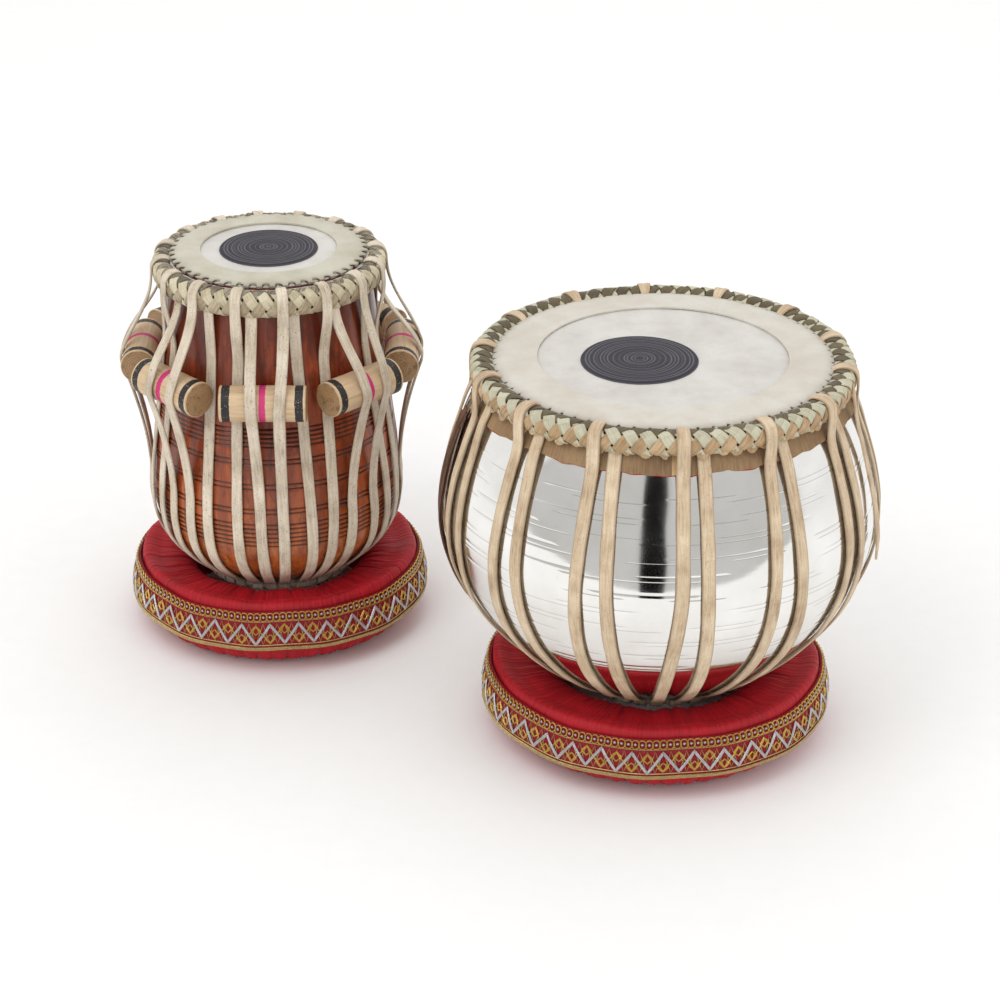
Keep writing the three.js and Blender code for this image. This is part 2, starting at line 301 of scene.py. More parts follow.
def add_piece(pile, name, body, slot, materials, replaces=(), **build):
    piece = pile.build(name, *materials, **build)
    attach(piece, body)
    if replaces:
        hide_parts(*replaces)
    return piece


def turned(drum, profile, segments, push=None, shade=None):
    """A pile with one turned surface. profile is [radius, height] points; push(azimuths, profile) moves the
    surface along its normal, and gives one row for each azimuth. shade(azimuths) is the material's number."""
    profile = np.asarray(profile, float)
    azimuths = np.arange(segments)[:, None] * 360 / segments
    slopes = np.gradient(profile, axis=0)
    lengths = np.maximum(np.linalg.norm(slopes, axis=1, keepdims=True), 1e-9)
    slopes = slopes / lengths
    moved = push(azimuths, profile) if push else np.zeros((segments, len(profile)))
    radii = profile[:, 0] + slopes[:, 1] * moved
    heights = profile[:, 1] - slopes[:, 0] * moved
    points = drum.round(azimuths, np.maximum(radii, 0), heights)
    pile = Pile()
    pile.grid(points, wrap_rows=True, wrap_columns=True, shade=shade(azimuths) if shade else None)
    return pile


def round_section(sides):
    turn = np.arange(sides) * TURN / sides
    return np.column_stack([np.cos(turn), np.sin(turn)])


def strap_section(crease):
    """A flat strap with soft edges, and a crease down the middle of both faces."""
    middle = 0.2
    sides = np.array([-0.93, -0.72, -0.42, -middle, 0, middle, 0.42, 0.72, 0.93])
    heights = 1 - 0.45 * np.abs(sides) ** 6 - crease * np.exp(-(sides / middle) ** 2)
    face = np.column_stack([sides, heights])
    back = np.column_stack([sides[::-1], -heights[::-1]])
    return np.vstack([face, [[1, 0]], back, [[-1, 0]]])


STRAP = strap_section(crease=0.28)
FLAT = strap_section(crease=0.0)
ROUGH_ROUND = round_section(6)


# ---------------------------------------------------------------- materials

class Finish:
    """A Principled material built node by node. Texture places are the piece's own coordinates, or where a
    point lies on its strip."""

    def __init__(self, name, **sockets):
        self.material = bpy.data.materials.new(name)
        self.material.use_nodes = True
        self.tree = self.material.node_tree
        self.surface = self.tree.nodes["Principled BSDF"]
        for socket, value in sockets.items():
            self.set(socket, value)

    def set(self, socket, value):
        """Sets or links a socket of the shader, named with underlines for its spaces."""
        self.fill(self.surface.inputs[socket.replace("_", " ")], value)

    def fill(self, socket, value):
        if isinstance(value, bpy.types.NodeSocket):
            self.tree.links.new(value, socket)
        elif socket.type == "RGBA" and len(value) == 3:
            socket.default_value = (*value, 1)
        else:
            socket.default_value = value

    def node(self, kind, inputs=(), **settings):
        made = self.tree.nodes.new(kind)
        for setting, value in settings.items():
            setattr(made, setting, value)
        for socket, value in dict(inputs).items():
            self.fill(made.inputs[socket], value)
        return made

    def place(self, stretch=(1, 1, 1)):
        """The piece's own coordinates in metres, stretched."""
        spot = self.node("ShaderNodeTexCoord").outputs["Object"]
        return self.node("ShaderNodeMapping", {"Vector": spot, "Scale": stretch}).outputs["Vector"]

    def lay(self, stretch=(1, 1, 1)):
        """Where a point lies on its strip: across, along and the strip's own number."""
        spot = self.node("ShaderNodeAttribute", attribute_name="lay").outputs["Vector"]
        return self.node("ShaderNodeMapping", {"Vector": spot, "Scale": stretch}).outputs["Vector"]

    def shade(self):
        return self.node("ShaderNodeAttribute", attribute_name="shade").outputs["Fac"]

    def part(self, vector, axis):
        return self.node("ShaderNodeSeparateXYZ", {"Vector": vector}).outputs[axis]

    def noise(self, vector, scale, detail=3.0, roughness=0.55, distortion=0.0):
        sockets = {"Vector": vector, "Scale": scale, "Detail": detail, "Roughness": roughness,
                   "Distortion": distortion}
        return self.node("ShaderNodeTexNoise", sockets).outputs["Fac"]

    def cells(self, vector, scale, feature="F1"):
        sockets = {"Vector": vector, "Scale": scale}
        return self.node("ShaderNodeTexVoronoi", sockets, feature=feature).outputs["Distance"]

    def ramp(self, factor, *stops):
        """A colour or a grey for each value of the factor; stops are (place, colour or number)."""
        made = self.node("ShaderNodeValToRGB", {"Fac": factor})
        band = made.color_ramp
        while len(band.elements) < len(stops):
            band.elements.new(0.5)
        for element, (place, colour) in zip(band.elements, stops):
            element.position = place
            element.color = (*colour, 1) if isinstance(colour, tuple) else (colour, colour, colour, 1)
        return made.outputs["Color"]

    def mix(self, factor, first, second, blend="MIX"):
        made = self.node("ShaderNodeMix", data_type="RGBA", blend_type=blend)
        self.fill(made.inputs["Factor"], factor)
        self.fill(made.inputs[6], first)
        self.fill(made.inputs[7], second)
        return made.outputs[2]

    def sum(self, operation, first, second=0.0):
        return self.node("ShaderNodeMath", {0: first, 1: second}, operation=operation).outputs[0]

    def bump(self, height, depth, strength=1.0, under=None):
        """Relief of a depth in metres, over another relief."""
        sockets = {"Height": height, "Distance": depth, "Strength": strength}
        if under:
            sockets["Normal"] = under
        return self.node("ShaderNodeBump", sockets).outputs["Normal"]


def hide_finish(name, pale, middle, dark, edge, speck=0.35, roughness=0.6):
    """Rawhide cut in strips: fibres along the strip, blotches, dark specks and browner edges."""
    made = Finish(name, Specular_IOR_Level=0.35)
    fibres = made.noise(made.lay((900, 70, 3)), 1.0, detail=4)
    blotches = made.noise(made.lay((30, 38, 5)), 1.0, detail=3)
    specks = made.noise(made.lay((900, 600, 9)), 1.0, detail=2)
    tone = made.sum("ADD", made.sum("MULTIPLY", fibres, 0.45), made.sum("MULTIPLY", blotches, 0.6))
    colour = made.ramp(tone, (0.34, dark), (0.5, middle), (0.66, pale))
    colour = made.mix(made.ramp(specks, (0.60, 0.0), (0.72, speck)), colour, edge, "MIX")
    side = made.sum("ABSOLUTE", made.part(made.lay(), "X"))
    worn = made.sum("ADD", side, made.sum("MULTIPLY", blotches, 0.0014))
    colour = made.mix(made.ramp(made.sum("MULTIPLY", worn, 150.0), (0.60, 0.0), (0.82, 0.55)), colour, edge)
    made.set("Base_Color", colour)
    made.set("Roughness", made.ramp(blotches, (0.3, roughness - 0.14), (0.7, roughness + 0.1)))
    relief = made.bump(blotches, 0.5 * MM, 0.6)
    made.set("Normal", made.bump(fibres, 0.16 * MM, 0.9, relief))
    return made.material


def skin_finish(name, pale, dark, grain=900.0):
    """Goat skin stretched and shaved: cloudy tone, fine pores and faint scratches."""
    made = Finish(name, Specular_IOR_Level=0.4)
    spot = made.place()
    clouds = made.noise(spot, 38.0, detail=5, roughness=0.6)
    pores = made.cells(spot, grain)
    fine = made.noise(spot, grain * 1.7, detail=2)
    streaks = made.noise(made.place((1, 0.12, 1)), 700.0, detail=3)
    colour = made.ramp(clouds, (0.32, dark), (0.62, pale))
    colour = made.mix(made.ramp(pores, (0.0, 0.22), (0.5, 0.0)), colour, dark)
    colour = made.mix(made.ramp(streaks, (0.6, 0.0), (0.8, 0.25)), colour, dark)
    # The shade attribute mixes in dark brown: painted shade round the lacing holes of a rim skin, and the
    # browner colour of its edge.
    made.set("Base_Color", made.mix(made.shade(), colour, (0.075, 0.050, 0.028)))
    made.set("Roughness", made.ramp(clouds, (0.3, 0.42), (0.7, 0.62)))
    relief = made.bump(pores, 0.15 * MM, 0.7)
    made.set("Normal", made.bump(fine, 0.08 * MM, 0.6, relief))
    return made.material


def patch_finish():
    """The tuning paste: layers of iron dust and flour rubbed with a stone, finely cracked."""
    made = Finish("tuning_paste", Specular_IOR_Level=0.22)
    spot = made.place()
    clouds = made.noise(spot, 55.0, detail=4)
    dust = made.noise(spot, 2600.0, detail=2)
    cracks = made.cells(spot, 900.0, feature="DISTANCE_TO_EDGE")
    colour = made.ramp(clouds, (0.3, (0.013, 0.011, 0.017)), (0.7, (0.030, 0.026, 0.036)))
    colour = made.mix(made.ramp(dust, (0.55, 0.0), (0.75, 0.40)), colour, (0.075, 0.072, 0.088))
    made.set("Base_Color", made.mix(made.shade(), colour, (0.15, 0.142, 0.17)))
    made.set("Roughness", made.ramp(clouds, (0.3, 0.45), (0.7, 0.62)))
    relief = made.bump(made.ramp(cracks, (0.0, 0.0), (0.08, 1.0)), 0.1 * MM, 0.7)
    made.set("Normal", made.bump(dust, 0.05 * MM, 0.5, relief))
    return made.material


def shell_wood_finish():
    """Varnished rosewood: red-brown above, paler and more orange low down, with burnt lines in the cuts."""
    made = Finish("turned_wood", Specular_IOR_Level=0.38, Coat_Weight=0.30, Coat_Roughness=0.12)
    grain = made.noise(made.place((1, 1, 0.045)), 210.0, detail=5, roughness=0.55, distortion=0.5)
    bands = made.noise(made.place((1, 1, 0.12)), 34.0, detail=3, distortion=0.9)
    pores = made.noise(made.place((1, 1, 0.03)), 1300.0, detail=2)
    height = made.part(made.place(), "Z")
    up = made.sum("ADD", height, made.sum("MULTIPLY", bands, 0.03))
    sockets = {"Value": up, "From Min": 0.07, "From Max": 0.30}
    level = made.node("ShaderNodeMapRange", sockets).outputs["Result"]
    pale = made.ramp(level, (0.0, (0.60, 0.185, 0.040)), (0.35, (0.46, 0.095, 0.018)),
                     (0.75, (0.36, 0.060, 0.013)), (1.0, (0.24, 0.036, 0.013)))
    deep = made.ramp(level, (0.0, (0.27, 0.055, 0.012)), (0.5, (0.155, 0.023, 0.006)),
                     (1.0, (0.090, 0.012, 0.006)))
    colour = made.mix(made.ramp(grain, (0.34, 0.85), (0.60, 0.0)), pale, deep)
    colour = made.mix(made.ramp(bands, (0.40, 0.75), (0.58, 0.0)), colour, deep)
    blotches = made.noise(made.place((1, 1, 0.6)), 62.0, detail=6, roughness=0.7)
    colour = made.mix(made.ramp(blotches, (0.36, 0.7), (0.50, 0.0)), colour, (0.070, 0.012, 0.005))
    colour = made.mix(made.ramp(pores, (0.62, 0.0), (0.74, 0.35)), colour, (0.045, 0.008, 0.004))
    made.set("Base_Color", made.mix(made.shade(), colour, (0.018, 0.006, 0.004)))
    made.set("Roughness", made.ramp(grain, (0.3, 0.42), (0.7, 0.26)))
    made.set("Normal", made.bump(grain, 0.07 * MM, 0.4))
    return made.material


# Painted rings of a dowel: how far from its middle each starts and ends, in metres.
BLACK_RING = (23.0 * MM, 28.8 * MM)
PINK_RING = 2.3 * MM


def dowel_finish():
    """Pale turned wood with grain along the dowel, painted rings and darker end grain."""
    made = Finish("dowel_wood", Specular_IOR_Level=0.4)
    own = made.place()
    grain = made.noise(made.place((0.07, 1, 1)), 420.0, detail=5, roughness=0.6, distortion=0.5)
    broad = made.noise(made.place((0.2, 1, 1)), 90.0, detail=3)
    colour = made.ramp(grain, (0.28, (0.50, 0.33, 0.18)), (0.46, (0.66, 0.49, 0.31)),
                       (0.68, (0.74, 0.58, 0.39)))
    colour = made.mix(made.ramp(broad, (0.45, 0.30), (0.65, 0.0)), colour, (0.52, 0.33, 0.17))
    growth = made.node("ShaderNodeTexWave", {"Vector": own, "Scale": 190.0, "Distortion": 2.5, "Detail": 2.0},
                       wave_type="RINGS", rings_direction="X").outputs["Fac"]
    end_grain = made.ramp(growth, (0.2, (0.32, 0.19, 0.09)), (0.8, (0.40, 0.25, 0.125)))
    stains = made.noise(own, 240.0, detail=5, roughness=0.7)
    end_grain = made.mix(made.ramp(stains, (0.50, 0.0), (0.66, 0.75)), end_grain, (0.12, 0.065, 0.03))
    colour = made.mix(made.shade(), colour, end_grain)
    along = made.sum("ABSOLUTE", made.part(own, "X"))
    uneven = made.sum("MULTIPLY", made.sum("SUBTRACT", made.noise(own, 260.0), 0.5), 1.1 * MM)
    along = made.sum("ADD", along, uneven)
    black = made.sum("MULTIPLY", made.sum("GREATER_THAN", along, BLACK_RING[0]),
                     made.sum("LESS_THAN", along, BLACK_RING[1]))
    chips = made.ramp(made.noise(own, 900.0, detail=4), (0.30, 0.0), (0.36, 1.0))
    black = made.sum("MULTIPLY", black, chips)
    pink = made.sum("MULTIPLY", made.sum("LESS_THAN", along, PINK_RING), chips)
    colour = made.mix(black, colour, (0.022, 0.020, 0.020))
    made.set("Base_Color", made.mix(pink, colour, (0.62, 0.030, 0.18)))
    made.set("Roughness", made.ramp(grain, (0.3, 0.58), (0.7, 0.42)))
    made.set("Normal", made.bump(grain, 0.12 * MM, 0.6))
    return made.material


def plated_finish():
    """Bright nickel plate over beaten sheet, with fine turning lines and a thin haze."""
    made = Finish("plated_metal", Metallic=1.0)
    haze = made.noise(made.place(), 30.0, detail=4)
    lines = made.noise(made.place((0.02, 0.02, 1)), 1900.0, detail=2)
    spots = made.noise(made.place(), 420.0, detail=3)
    colour = made.ramp(haze, (0.3, (0.80, 0.785, 0.755)), (0.7, (0.90, 0.89, 0.87)))
    colour = made.mix(made.ramp(spots, (0.66, 0.0), (0.76, 0.25)), colour, (0.45, 0.42, 0.38))
    made.set("Base_Color", made.mix(made.shade(), colour, (0.10, 0.09, 0.08)))
    made.set("Roughness", made.ramp(haze, (0.3, 0.07), (0.7, 0.13)))
    made.set("Normal", made.bump(lines, 0.02 * MM, 0.25))
    return made.material


def cloth_finish():
    """Red satin: fine weave, a soft sheen, and painted shade where the gathers close."""
    made = Finish("red_cloth", Sheen_Weight=0.25, Sheen_Roughness=0.4, Specular_IOR_Level=0.3)
    spot = made.place()
    weave = made.noise(made.lay((2200, 5200, 0)), 1.0, detail=2)
    clouds = made.noise(spot, 45.0, detail=3)
    colour = made.ramp(clouds, (0.3, (0.36, 0.0012, 0.008)), (0.7, (0.50, 0.0022, 0.012)))
    colour = made.mix(made.ramp(weave, (0.4, 0.25), (0.6, 0.0)), colour, (0.24, 0.0, 0.006))
    # The shade attribute paints shade into the creases of the gathers, darkening the red.
    made.set("Base_Color", made.mix(made.shade(), colour, (0.14, 0.0, 0.004)))
    made.set("Roughness", made.ramp(clouds, (0.3, 0.5), (0.7, 0.62)))
    made.set("Sheen_Tint", (1.0, 0.12, 0.14, 1.0))
    made.set("Normal", made.bump(weave, 0.12 * MM, 0.5))
    return made.material


def ribbon_finish():
    """The ribbon's ground: coarse red weave with thin gold weft."""
    made = Finish("ribbon_ground", Specular_IOR_Level=0.3)
    warp = made.node("ShaderNodeTexWave", {"Vector": made.lay((0, 1, 0)), "Scale": 420.0, "Distortion": 1.2},
                     wave_type="BANDS", bands_direction="Y").outputs["Fac"]
    weft = made.node("ShaderNodeTexWave", {"Vector": made.lay((1, 0, 0)), "Scale": 300.0, "Distortion": 0.8},
                     wave_type="BANDS", bands_direction="X").outputs["Fac"]
    thread = made.sum("MULTIPLY", warp, weft)
    mottle = made.noise(made.lay((500, 500, 0)), 1.0, detail=3)
    colour = made.ramp(thread, (0.1, (0.20, 0.003, 0.010)), (0.6, (0.50, 0.008, 0.026)))
    colour = made.mix(made.ramp(mottle, (0.60, 0.0), (0.72, 0.45)), colour, (0.42, 0.15, 0.05))
    made.set("Base_Color", colour)
    made.set("Roughness", made.ramp(mottle, (0.3, 0.75), (0.7, 0.5)))
    made.set("Normal", made.bump(thread, 0.3 * MM, 0.8))
    return made.material


def thread_finish(name, bright, dull, roughness=0.32):
    """Metal-wrapped thread: the wrapping turns across it, and it dulls in places."""
    made = Finish(name, Metallic=0.85)
    wraps = made.noise(made.lay((300, 2600, 1)), 1.0, detail=2)
    dulled = made.noise(made.lay((90, 160, 3)), 1.0, detail=3)
    colour = made.ramp(wraps, (0.35, dull), (0.62, bright))
    made.set("Base_Color", made.mix(made.ramp(dulled, (0.45, 0.5), (0.6, 0.0)), colour, dull))
    made.set("Roughness", made.ramp(dulled, (0.3, roughness + 0.12), (0.7, roughness - 0.08)))
    made.set("Normal", made.bump(wraps, 0.15 * MM, 0.8))
    return made.material


def paper_finish():
    """The studio floor: pale, and matt with a trace of texture."""
    made = Finish("studio_paper", Specular_IOR_Level=0.1)
    fine = made.noise(made.place(), 60.0, detail=4)
    made.set("Base_Color", made.ramp(fine, (0.3, (0.94, 0.94, 0.94)), (0.7, (0.96, 0.96, 0.96))))
    made.set("Roughness", made.ramp(fine, (0.3, 0.85), (0.7, 0.95)))
    return made.material


def card_finish(name, brightness):
    """A plain studio card, as bright as its share of the light."""
    made = Finish(name)
    made.set("Base_Color", (0.0, 0.0, 0.0, 1.0))
    made.set("Specular_IOR_Level", 0.0)
    made.set("Emission_Color", (1.0, 0.99, 0.97, 1.0))
    made.set("Emission_Strength", brightness)
    return made.material


SKIN = skin_finish("skin", (0.66, 0.64, 0.61), (0.54, 0.515, 0.475), grain=700.0)
RIM_SKIN = skin_finish("rim_skin", (0.58, 0.555, 0.455), (0.45, 0.41, 0.315), grain=900.0)
BAYAN_RIM_SKIN = skin_finish("bayan_rim_skin", (0.65, 0.62, 0.56), (0.55, 0.50, 0.42), grain=900.0)
PATCH = patch_finish()
THONG = hide_finish("thong", (0.76, 0.67, 0.54), (0.61, 0.52, 0.40), (0.39, 0.305, 0.215),
                    (0.15, 0.105, 0.068), speck=0.62)
BAYAN_THONG = hide_finish("bayan_thong", (0.74, 0.60, 0.43), (0.58, 0.44, 0.29), (0.35, 0.23, 0.135),
                          (0.15, 0.09, 0.05), speck=0.4)
PALE_STRIP = hide_finish("pale_strip", (0.70, 0.64, 0.47), (0.56, 0.49, 0.34), (0.35, 0.28, 0.17),
                         (0.17, 0.13, 0.08), speck=0.2)
GREEN_STRIP = hide_finish("green_strip", (0.62, 0.595, 0.45), (0.50, 0.475, 0.345), (0.31, 0.28, 0.185),
                          (0.15, 0.12, 0.07), speck=0.15)
WORN_STRIP = hide_finish("worn_strip", (0.50, 0.42, 0.29), (0.36, 0.285, 0.185), (0.19, 0.145, 0.09),
                         (0.08, 0.058, 0.038), speck=0.6)
DARK_STRIP = hide_finish("dark_strip", (0.40, 0.35, 0.26), (0.15, 0.12, 0.082), (0.06, 0.046, 0.032),
                         (0.02, 0.016, 0.012), speck=0.9)
OLIVE_STRIP = hide_finish("olive_strip", (0.17, 0.135, 0.075), (0.105, 0.078, 0.04), (0.05, 0.036, 0.02),
                          (0.02, 0.014, 0.008), speck=0.5)
TAN_STRIP = hide_finish("tan_strip", (0.58, 0.41, 0.24), (0.42, 0.275, 0.14), (0.22, 0.13, 0.065),
                        (0.10, 0.05, 0.025))
COLLAR_SKIN = hide_finish("collar_skin", (0.66, 0.45, 0.23), (0.49, 0.30, 0.14), (0.25, 0.135, 0.06),
                          (0.09, 0.045, 0.02))
BASE_HIDE = hide_finish("base_hide", (0.62, 0.46, 0.36), (0.46, 0.31, 0.235), (0.24, 0.145, 0.105),
                        (0.09, 0.05, 0.035), roughness=0.45)
# The braid's core is near black: painted shade that shows through the gaps in the weave and at the lacing
# holes.
CORE_PAINTED_SHADE = hide_finish("core_painted_shade", (0.075, 0.050, 0.030), (0.045, 0.030, 0.018), (0.022, 0.014, 0.009),
                        (0.010, 0.007, 0.005))
SPARE_HIDE = hide_finish("spare_hide", (0.20, 0.10, 0.055), (0.11, 0.05, 0.03), (0.05, 0.022, 0.014),
                         (0.02, 0.01, 0.008))
SHELL_WOOD = shell_wood_finish()
DOWEL_WOOD = dowel_finish()
PLATED = plated_finish()
RED_CLOTH = cloth_finish()
RIBBON_GROUND = ribbon_finish()
GOLD = thread_finish("gold_thread", (0.93, 0.66, 0.16), (0.42, 0.24, 0.05))
OLD_GOLD = thread_finish("old_gold_thread", (0.80, 0.62, 0.30), (0.36, 0.26, 0.10))
SILVER = thread_finish("silver_thread", (0.86, 0.85, 0.86), (0.42, 0.41, 0.43))
BEAD = thread_finish("bead", (0.72, 0.70, 0.74), (0.30, 0.29, 0.32), roughness=0.22)


# ---------------------------------------------------------------- shells

GROOVE_WIDTH = 2.3 * MM
GROOVE_DEPTH = 1.0 * MM
# Groups of turned lines on the wooden shell: height of the top line, how many, and their spacing.
GROOVES = [(185.5, 5, 3.3), (162.5, 2, 3.2), (144.0, 2, 3.4), (125.0, 2, 3.2), (113.0, 6, 3.6)]
WOOD_SEGMENTS = 288

BEATEN_DEPTH = 0.30 * MM
ENGRAVED_WIDTH = 1.0 * MM
ENGRAVED_DEPTH = 0.12 * MM
ENGRAVED_HEIGHTS = [(236 - 12.5 * row) * MM for row in range(11)]
ENGRAVED_PAIR = 3.4 * MM
METAL_SEGMENTS = 576
PLAIN_STEP = 2.5 * MM               # between heights where nothing is cut


def heights_with_lines(outline, lines, width):
    """Heights up an outline, closer together at each cut line so that its shape is kept."""
    plain = np.arange(outline.low, outline.high, PLAIN_STEP)
    cuts = [line + share * width for line in lines for share in (-0.5, -0.25, 0, 0.25, 0.5)]
    heights = np.unique(np.round(np.concatenate([plain, cuts, [outline.high]]), 5))
    return heights[(heights >= outline.low) & (heights <= outline.high)]


def cut_depth(heights, line, width):
    """From 0 to 1 across a rounded cut at a height."""
    share = np.clip(np.abs(heights - line) / (0.5 * width), 0, 1)
    return 0.5 + 0.5 * np.cos(np.pi * share)


def closed_shell(drum, heights):
    """A shell's section: up the outside, over the rim, down the inside, closed on the axis."""
    outside = drum.outside.off(heights, 0)
    floor = np.linspace(0.0005, outside[0, 0], 8)[:-1]
    bottom = np.column_stack([floor, np.full(len(floor), outside[0, 1])])
    inside = np.array(drum.inside[::-1])
    well = np.array([(0.0005, inside[-1, 1])])
    return np.vstack([bottom, outside, inside, well]), len(floor), len(outside)


def add_wooden_shell():
    lines = [(top - row * pitch) * MM for top, count, pitch in GROOVES for row in range(count)]
    heights = heights_with_lines(dayan.outside, lines, GROOVE_WIDTH)
    profile, first, count = closed_shell(dayan, heights)
    depth = np.zeros(len(profile))
    for line in lines:
        depth[first:first + count] = np.maximum(depth[first:first + count],
                                                cut_depth(heights, line, GROOVE_WIDTH))

    def push(azimuths, profile):
        worn = 0.75 + 0.25 * np.sin(np.radians(3 * azimuths) + 40 * profile[:, 1])
        return -GROOVE_DEPTH * depth * worn

    pile = turned(dayan, profile, WOOD_SEGMENTS, push, lambda _: depth * 0.92)
    add_piece(pile, "dayan_wooden_shell", "dayan", "turned_wood", [SHELL_WOOD], ["dayan_shell"], weld=True,
              smooth_angle=40)


def add_metal_shell():
    lines = [height - drop for height in ENGRAVED_HEIGHTS for drop in (0, ENGRAVED_PAIR)]
    heights = heights_with_lines(bayan.outside, lines, ENGRAVED_WIDTH)
    profile, first, count = closed_shell(bayan, heights)
    outer = slice(first, first + count)

    def dashes(azimuths):
        """Where each engraved line is cut: dashes of uneven length, and some lines are missed out."""
        cut = np.zeros((len(azimuths), len(profile)))
        for number, line in enumerate(lines):
            drift = np.sin(np.radians(azimuths[:, 0] * 2) + number * 1.7)
            wave = np.sin(np.radians(azimuths[:, 0] * (7 + number % 4)) + number * 2.3 + 2 * drift)
            on = np.clip((wave + 0.35) * 3, 0, 1)
            cut[:, outer] = np.maximum(cut[:, outer], on[:, None] * cut_depth(heights, line, ENGRAVED_WIDTH))
        return cut

    def push(azimuths, profile):
        points = bayan.round(azimuths, profile[:, 0], profile[:, 1])
        beaten = ripple(points, 34 * MM, 3.0)
        mask = np.zeros(len(profile))
        mask[outer] = 1
        return BEATEN_DEPTH * beaten * mask - ENGRAVED_DEPTH * dashes(azimuths)

    pile = turned(bayan, profile, METAL_SEGMENTS, push, lambda azimuths: 0.4 * dashes(azimuths))
    add_piece(pile, "bayan_metal_shell", "bayan", "plated_metal", [PLATED], ["bayan_shell"], weld=True,
              smooth_angle=60)


# ---------------------------------------------------------------- heads

HOLES = {"dayan": 48, "bayan": 70}             # round the skin's edge, three or five to a loop of thong
LOOPS = {"dayan": 16, "bayan": 14}
FIRST_LOOP = {"dayan": -9.25, "bayan": 6.2}    # azimuth of the middle of the first loop
LANES = {"dayan": 3.4, "bayan": 2.9}           # from a loop's middle to each of its runs, at the braid
HOLE_SIZE = {"dayan": (2.9 * MM, 4.3 * MM), "bayan": (1.3 * MM, 2.0 * MM)}   # half its width, and its depth
SKIN_EDGE = {"dayan": 71.6 * MM, "bayan": 115.2 * MM}
STEPS_PER_HOLE = 16
LIP = 0.35 * MM


def first_hole(drum):
    """Azimuth of the hole where the first loop's outer run goes in."""
    return FIRST_LOOP[drum.name] - LANES[drum.name]


def add_rim_skin(drum, finish):
    """The upper skin, cut away round the middle, with a row of lacing holes at its edge."""
    name = drum.name
    low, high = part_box(f"{name}_rim_skin")
    inner = min(radius for radius, _ in rings_of(f"{name}_rim_skin", drum.axis, -1))
    edge = SKIN_EDGE[name]
    half_width, depth = HOLE_SIZE[name]
    share = np.linspace(0, 1, 26) ** 0.85
    radii = inner + share * (edge - inner)
    lip = LIP * np.exp(-((radii - inner) / (1.6 * MM)) ** 2)
    droop = 1.7 * MM * share ** 9
    top = np.column_stack([radii, high.z + lip - droop])
    foot = np.column_stack([radii, np.full(len(radii), low.z) - droop - np.where(share > 0.97, 0.6 * MM, 0)])
    profile = np.vstack([top[::-1], foot])
    segments = HOLES[name] * STEPS_PER_HOLE
    spacing = 360 / HOLES[name]

    azimuths = first_hole(drum) + np.arange(segments)[:, None] * 360 / segments
    away = (np.arange(segments)[:, None] * 360 / segments + spacing / 2) % spacing - spacing / 2
    reach = np.radians(away) * edge / half_width
    notch = depth * np.sqrt(np.clip(1 - reach ** 2, 0, 1))
    uneven = 1 + 0.25 * np.sin(azimuths * 0.37) * np.sin(azimuths * 0.113)
    pull = np.clip((profile[:, 0] - (edge - 7 * MM)) / (7 * MM), 0, 1) ** 2
    radii = profile[:, 0] - notch * uneven * pull
    points = drum.round(azimuths, radii, profile[:, 1] + 0.12 * MM * np.sin(np.radians(azimuths * 5)))
    points[..., 2] += 0.10 * MM * ripple(points, 14 * MM, 5.0)
    # Shade attribute for the skin's colour: holes is painted shade round each lacing hole and down its wall,
    # where the thin skin is in shadow; brown makes the skin browner towards its edge, and rim a little darker
    # at the cut edge itself.
    rim = np.clip((profile[:, 0] - (edge - 0.7 * MM)) / (0.7 * MM), 0, 1)
    brown = 0.30 * np.clip((profile[:, 0] - (edge - 9 * MM)) / (9 * MM), 0, 1) ** 2
    holes = np.clip(notch / depth * 2.2, 0, 1) * rim
    pile = Pile()
    pile.grid(points, wrap_rows=True, wrap_columns=True, shade=np.maximum(holes, brown + 0.25 * rim))
    add_piece(pile, f"{name}_rim_skin_cut", name, "rim_skin", [finish], [f"{name}_rim_skin"], smooth_angle=45)


def add_playing_skin(drum):
    """The skin under it, which shows between the rim skin and the patch and turns down over the rim."""
    name = drum.name
    low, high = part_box(f"{name}_playing_skin")
    edge = max(radius for radius, height in rings_of(f"{name}_playing_skin", drum.axis, 1))
    thickness = 1.1 * MM
    flat = SKIN_EDGE[name] - 1.35 * HOLE_SIZE[name][1] - 0.8 * MM
    radii = np.concatenate([[0.0004], np.linspace(3 * MM, flat, 34)])
    top = [(radius, high.z) for radius in radii]
    side = [(flat + 1.2 * MM, high.z - 1.6 * MM), (edge - 0.9 * MM, high.z - 4.5 * MM), (edge, low.z)]
    back = [(radius - thickness, height - thickness) for radius, height in reversed(side[:2])]
    inner = [(radius, high.z - thickness) for radius in reversed(radii)]
    profile = [*top, *side, (edge - thickness, low.z), *back, *inner]

    def push(azimuths, profile):
        points = drum.round(azimuths, profile[:, 0], profile[:, 1])
        return 0.06 * MM * ripple(points, 11 * MM, 2.0)

    pile = turned(drum, profile, 240, push)
    add_piece(pile, f"{name}_playing_skin_stretched", name, "skin", [SKIN], [f"{name}_playing_skin"],
              weld=True)


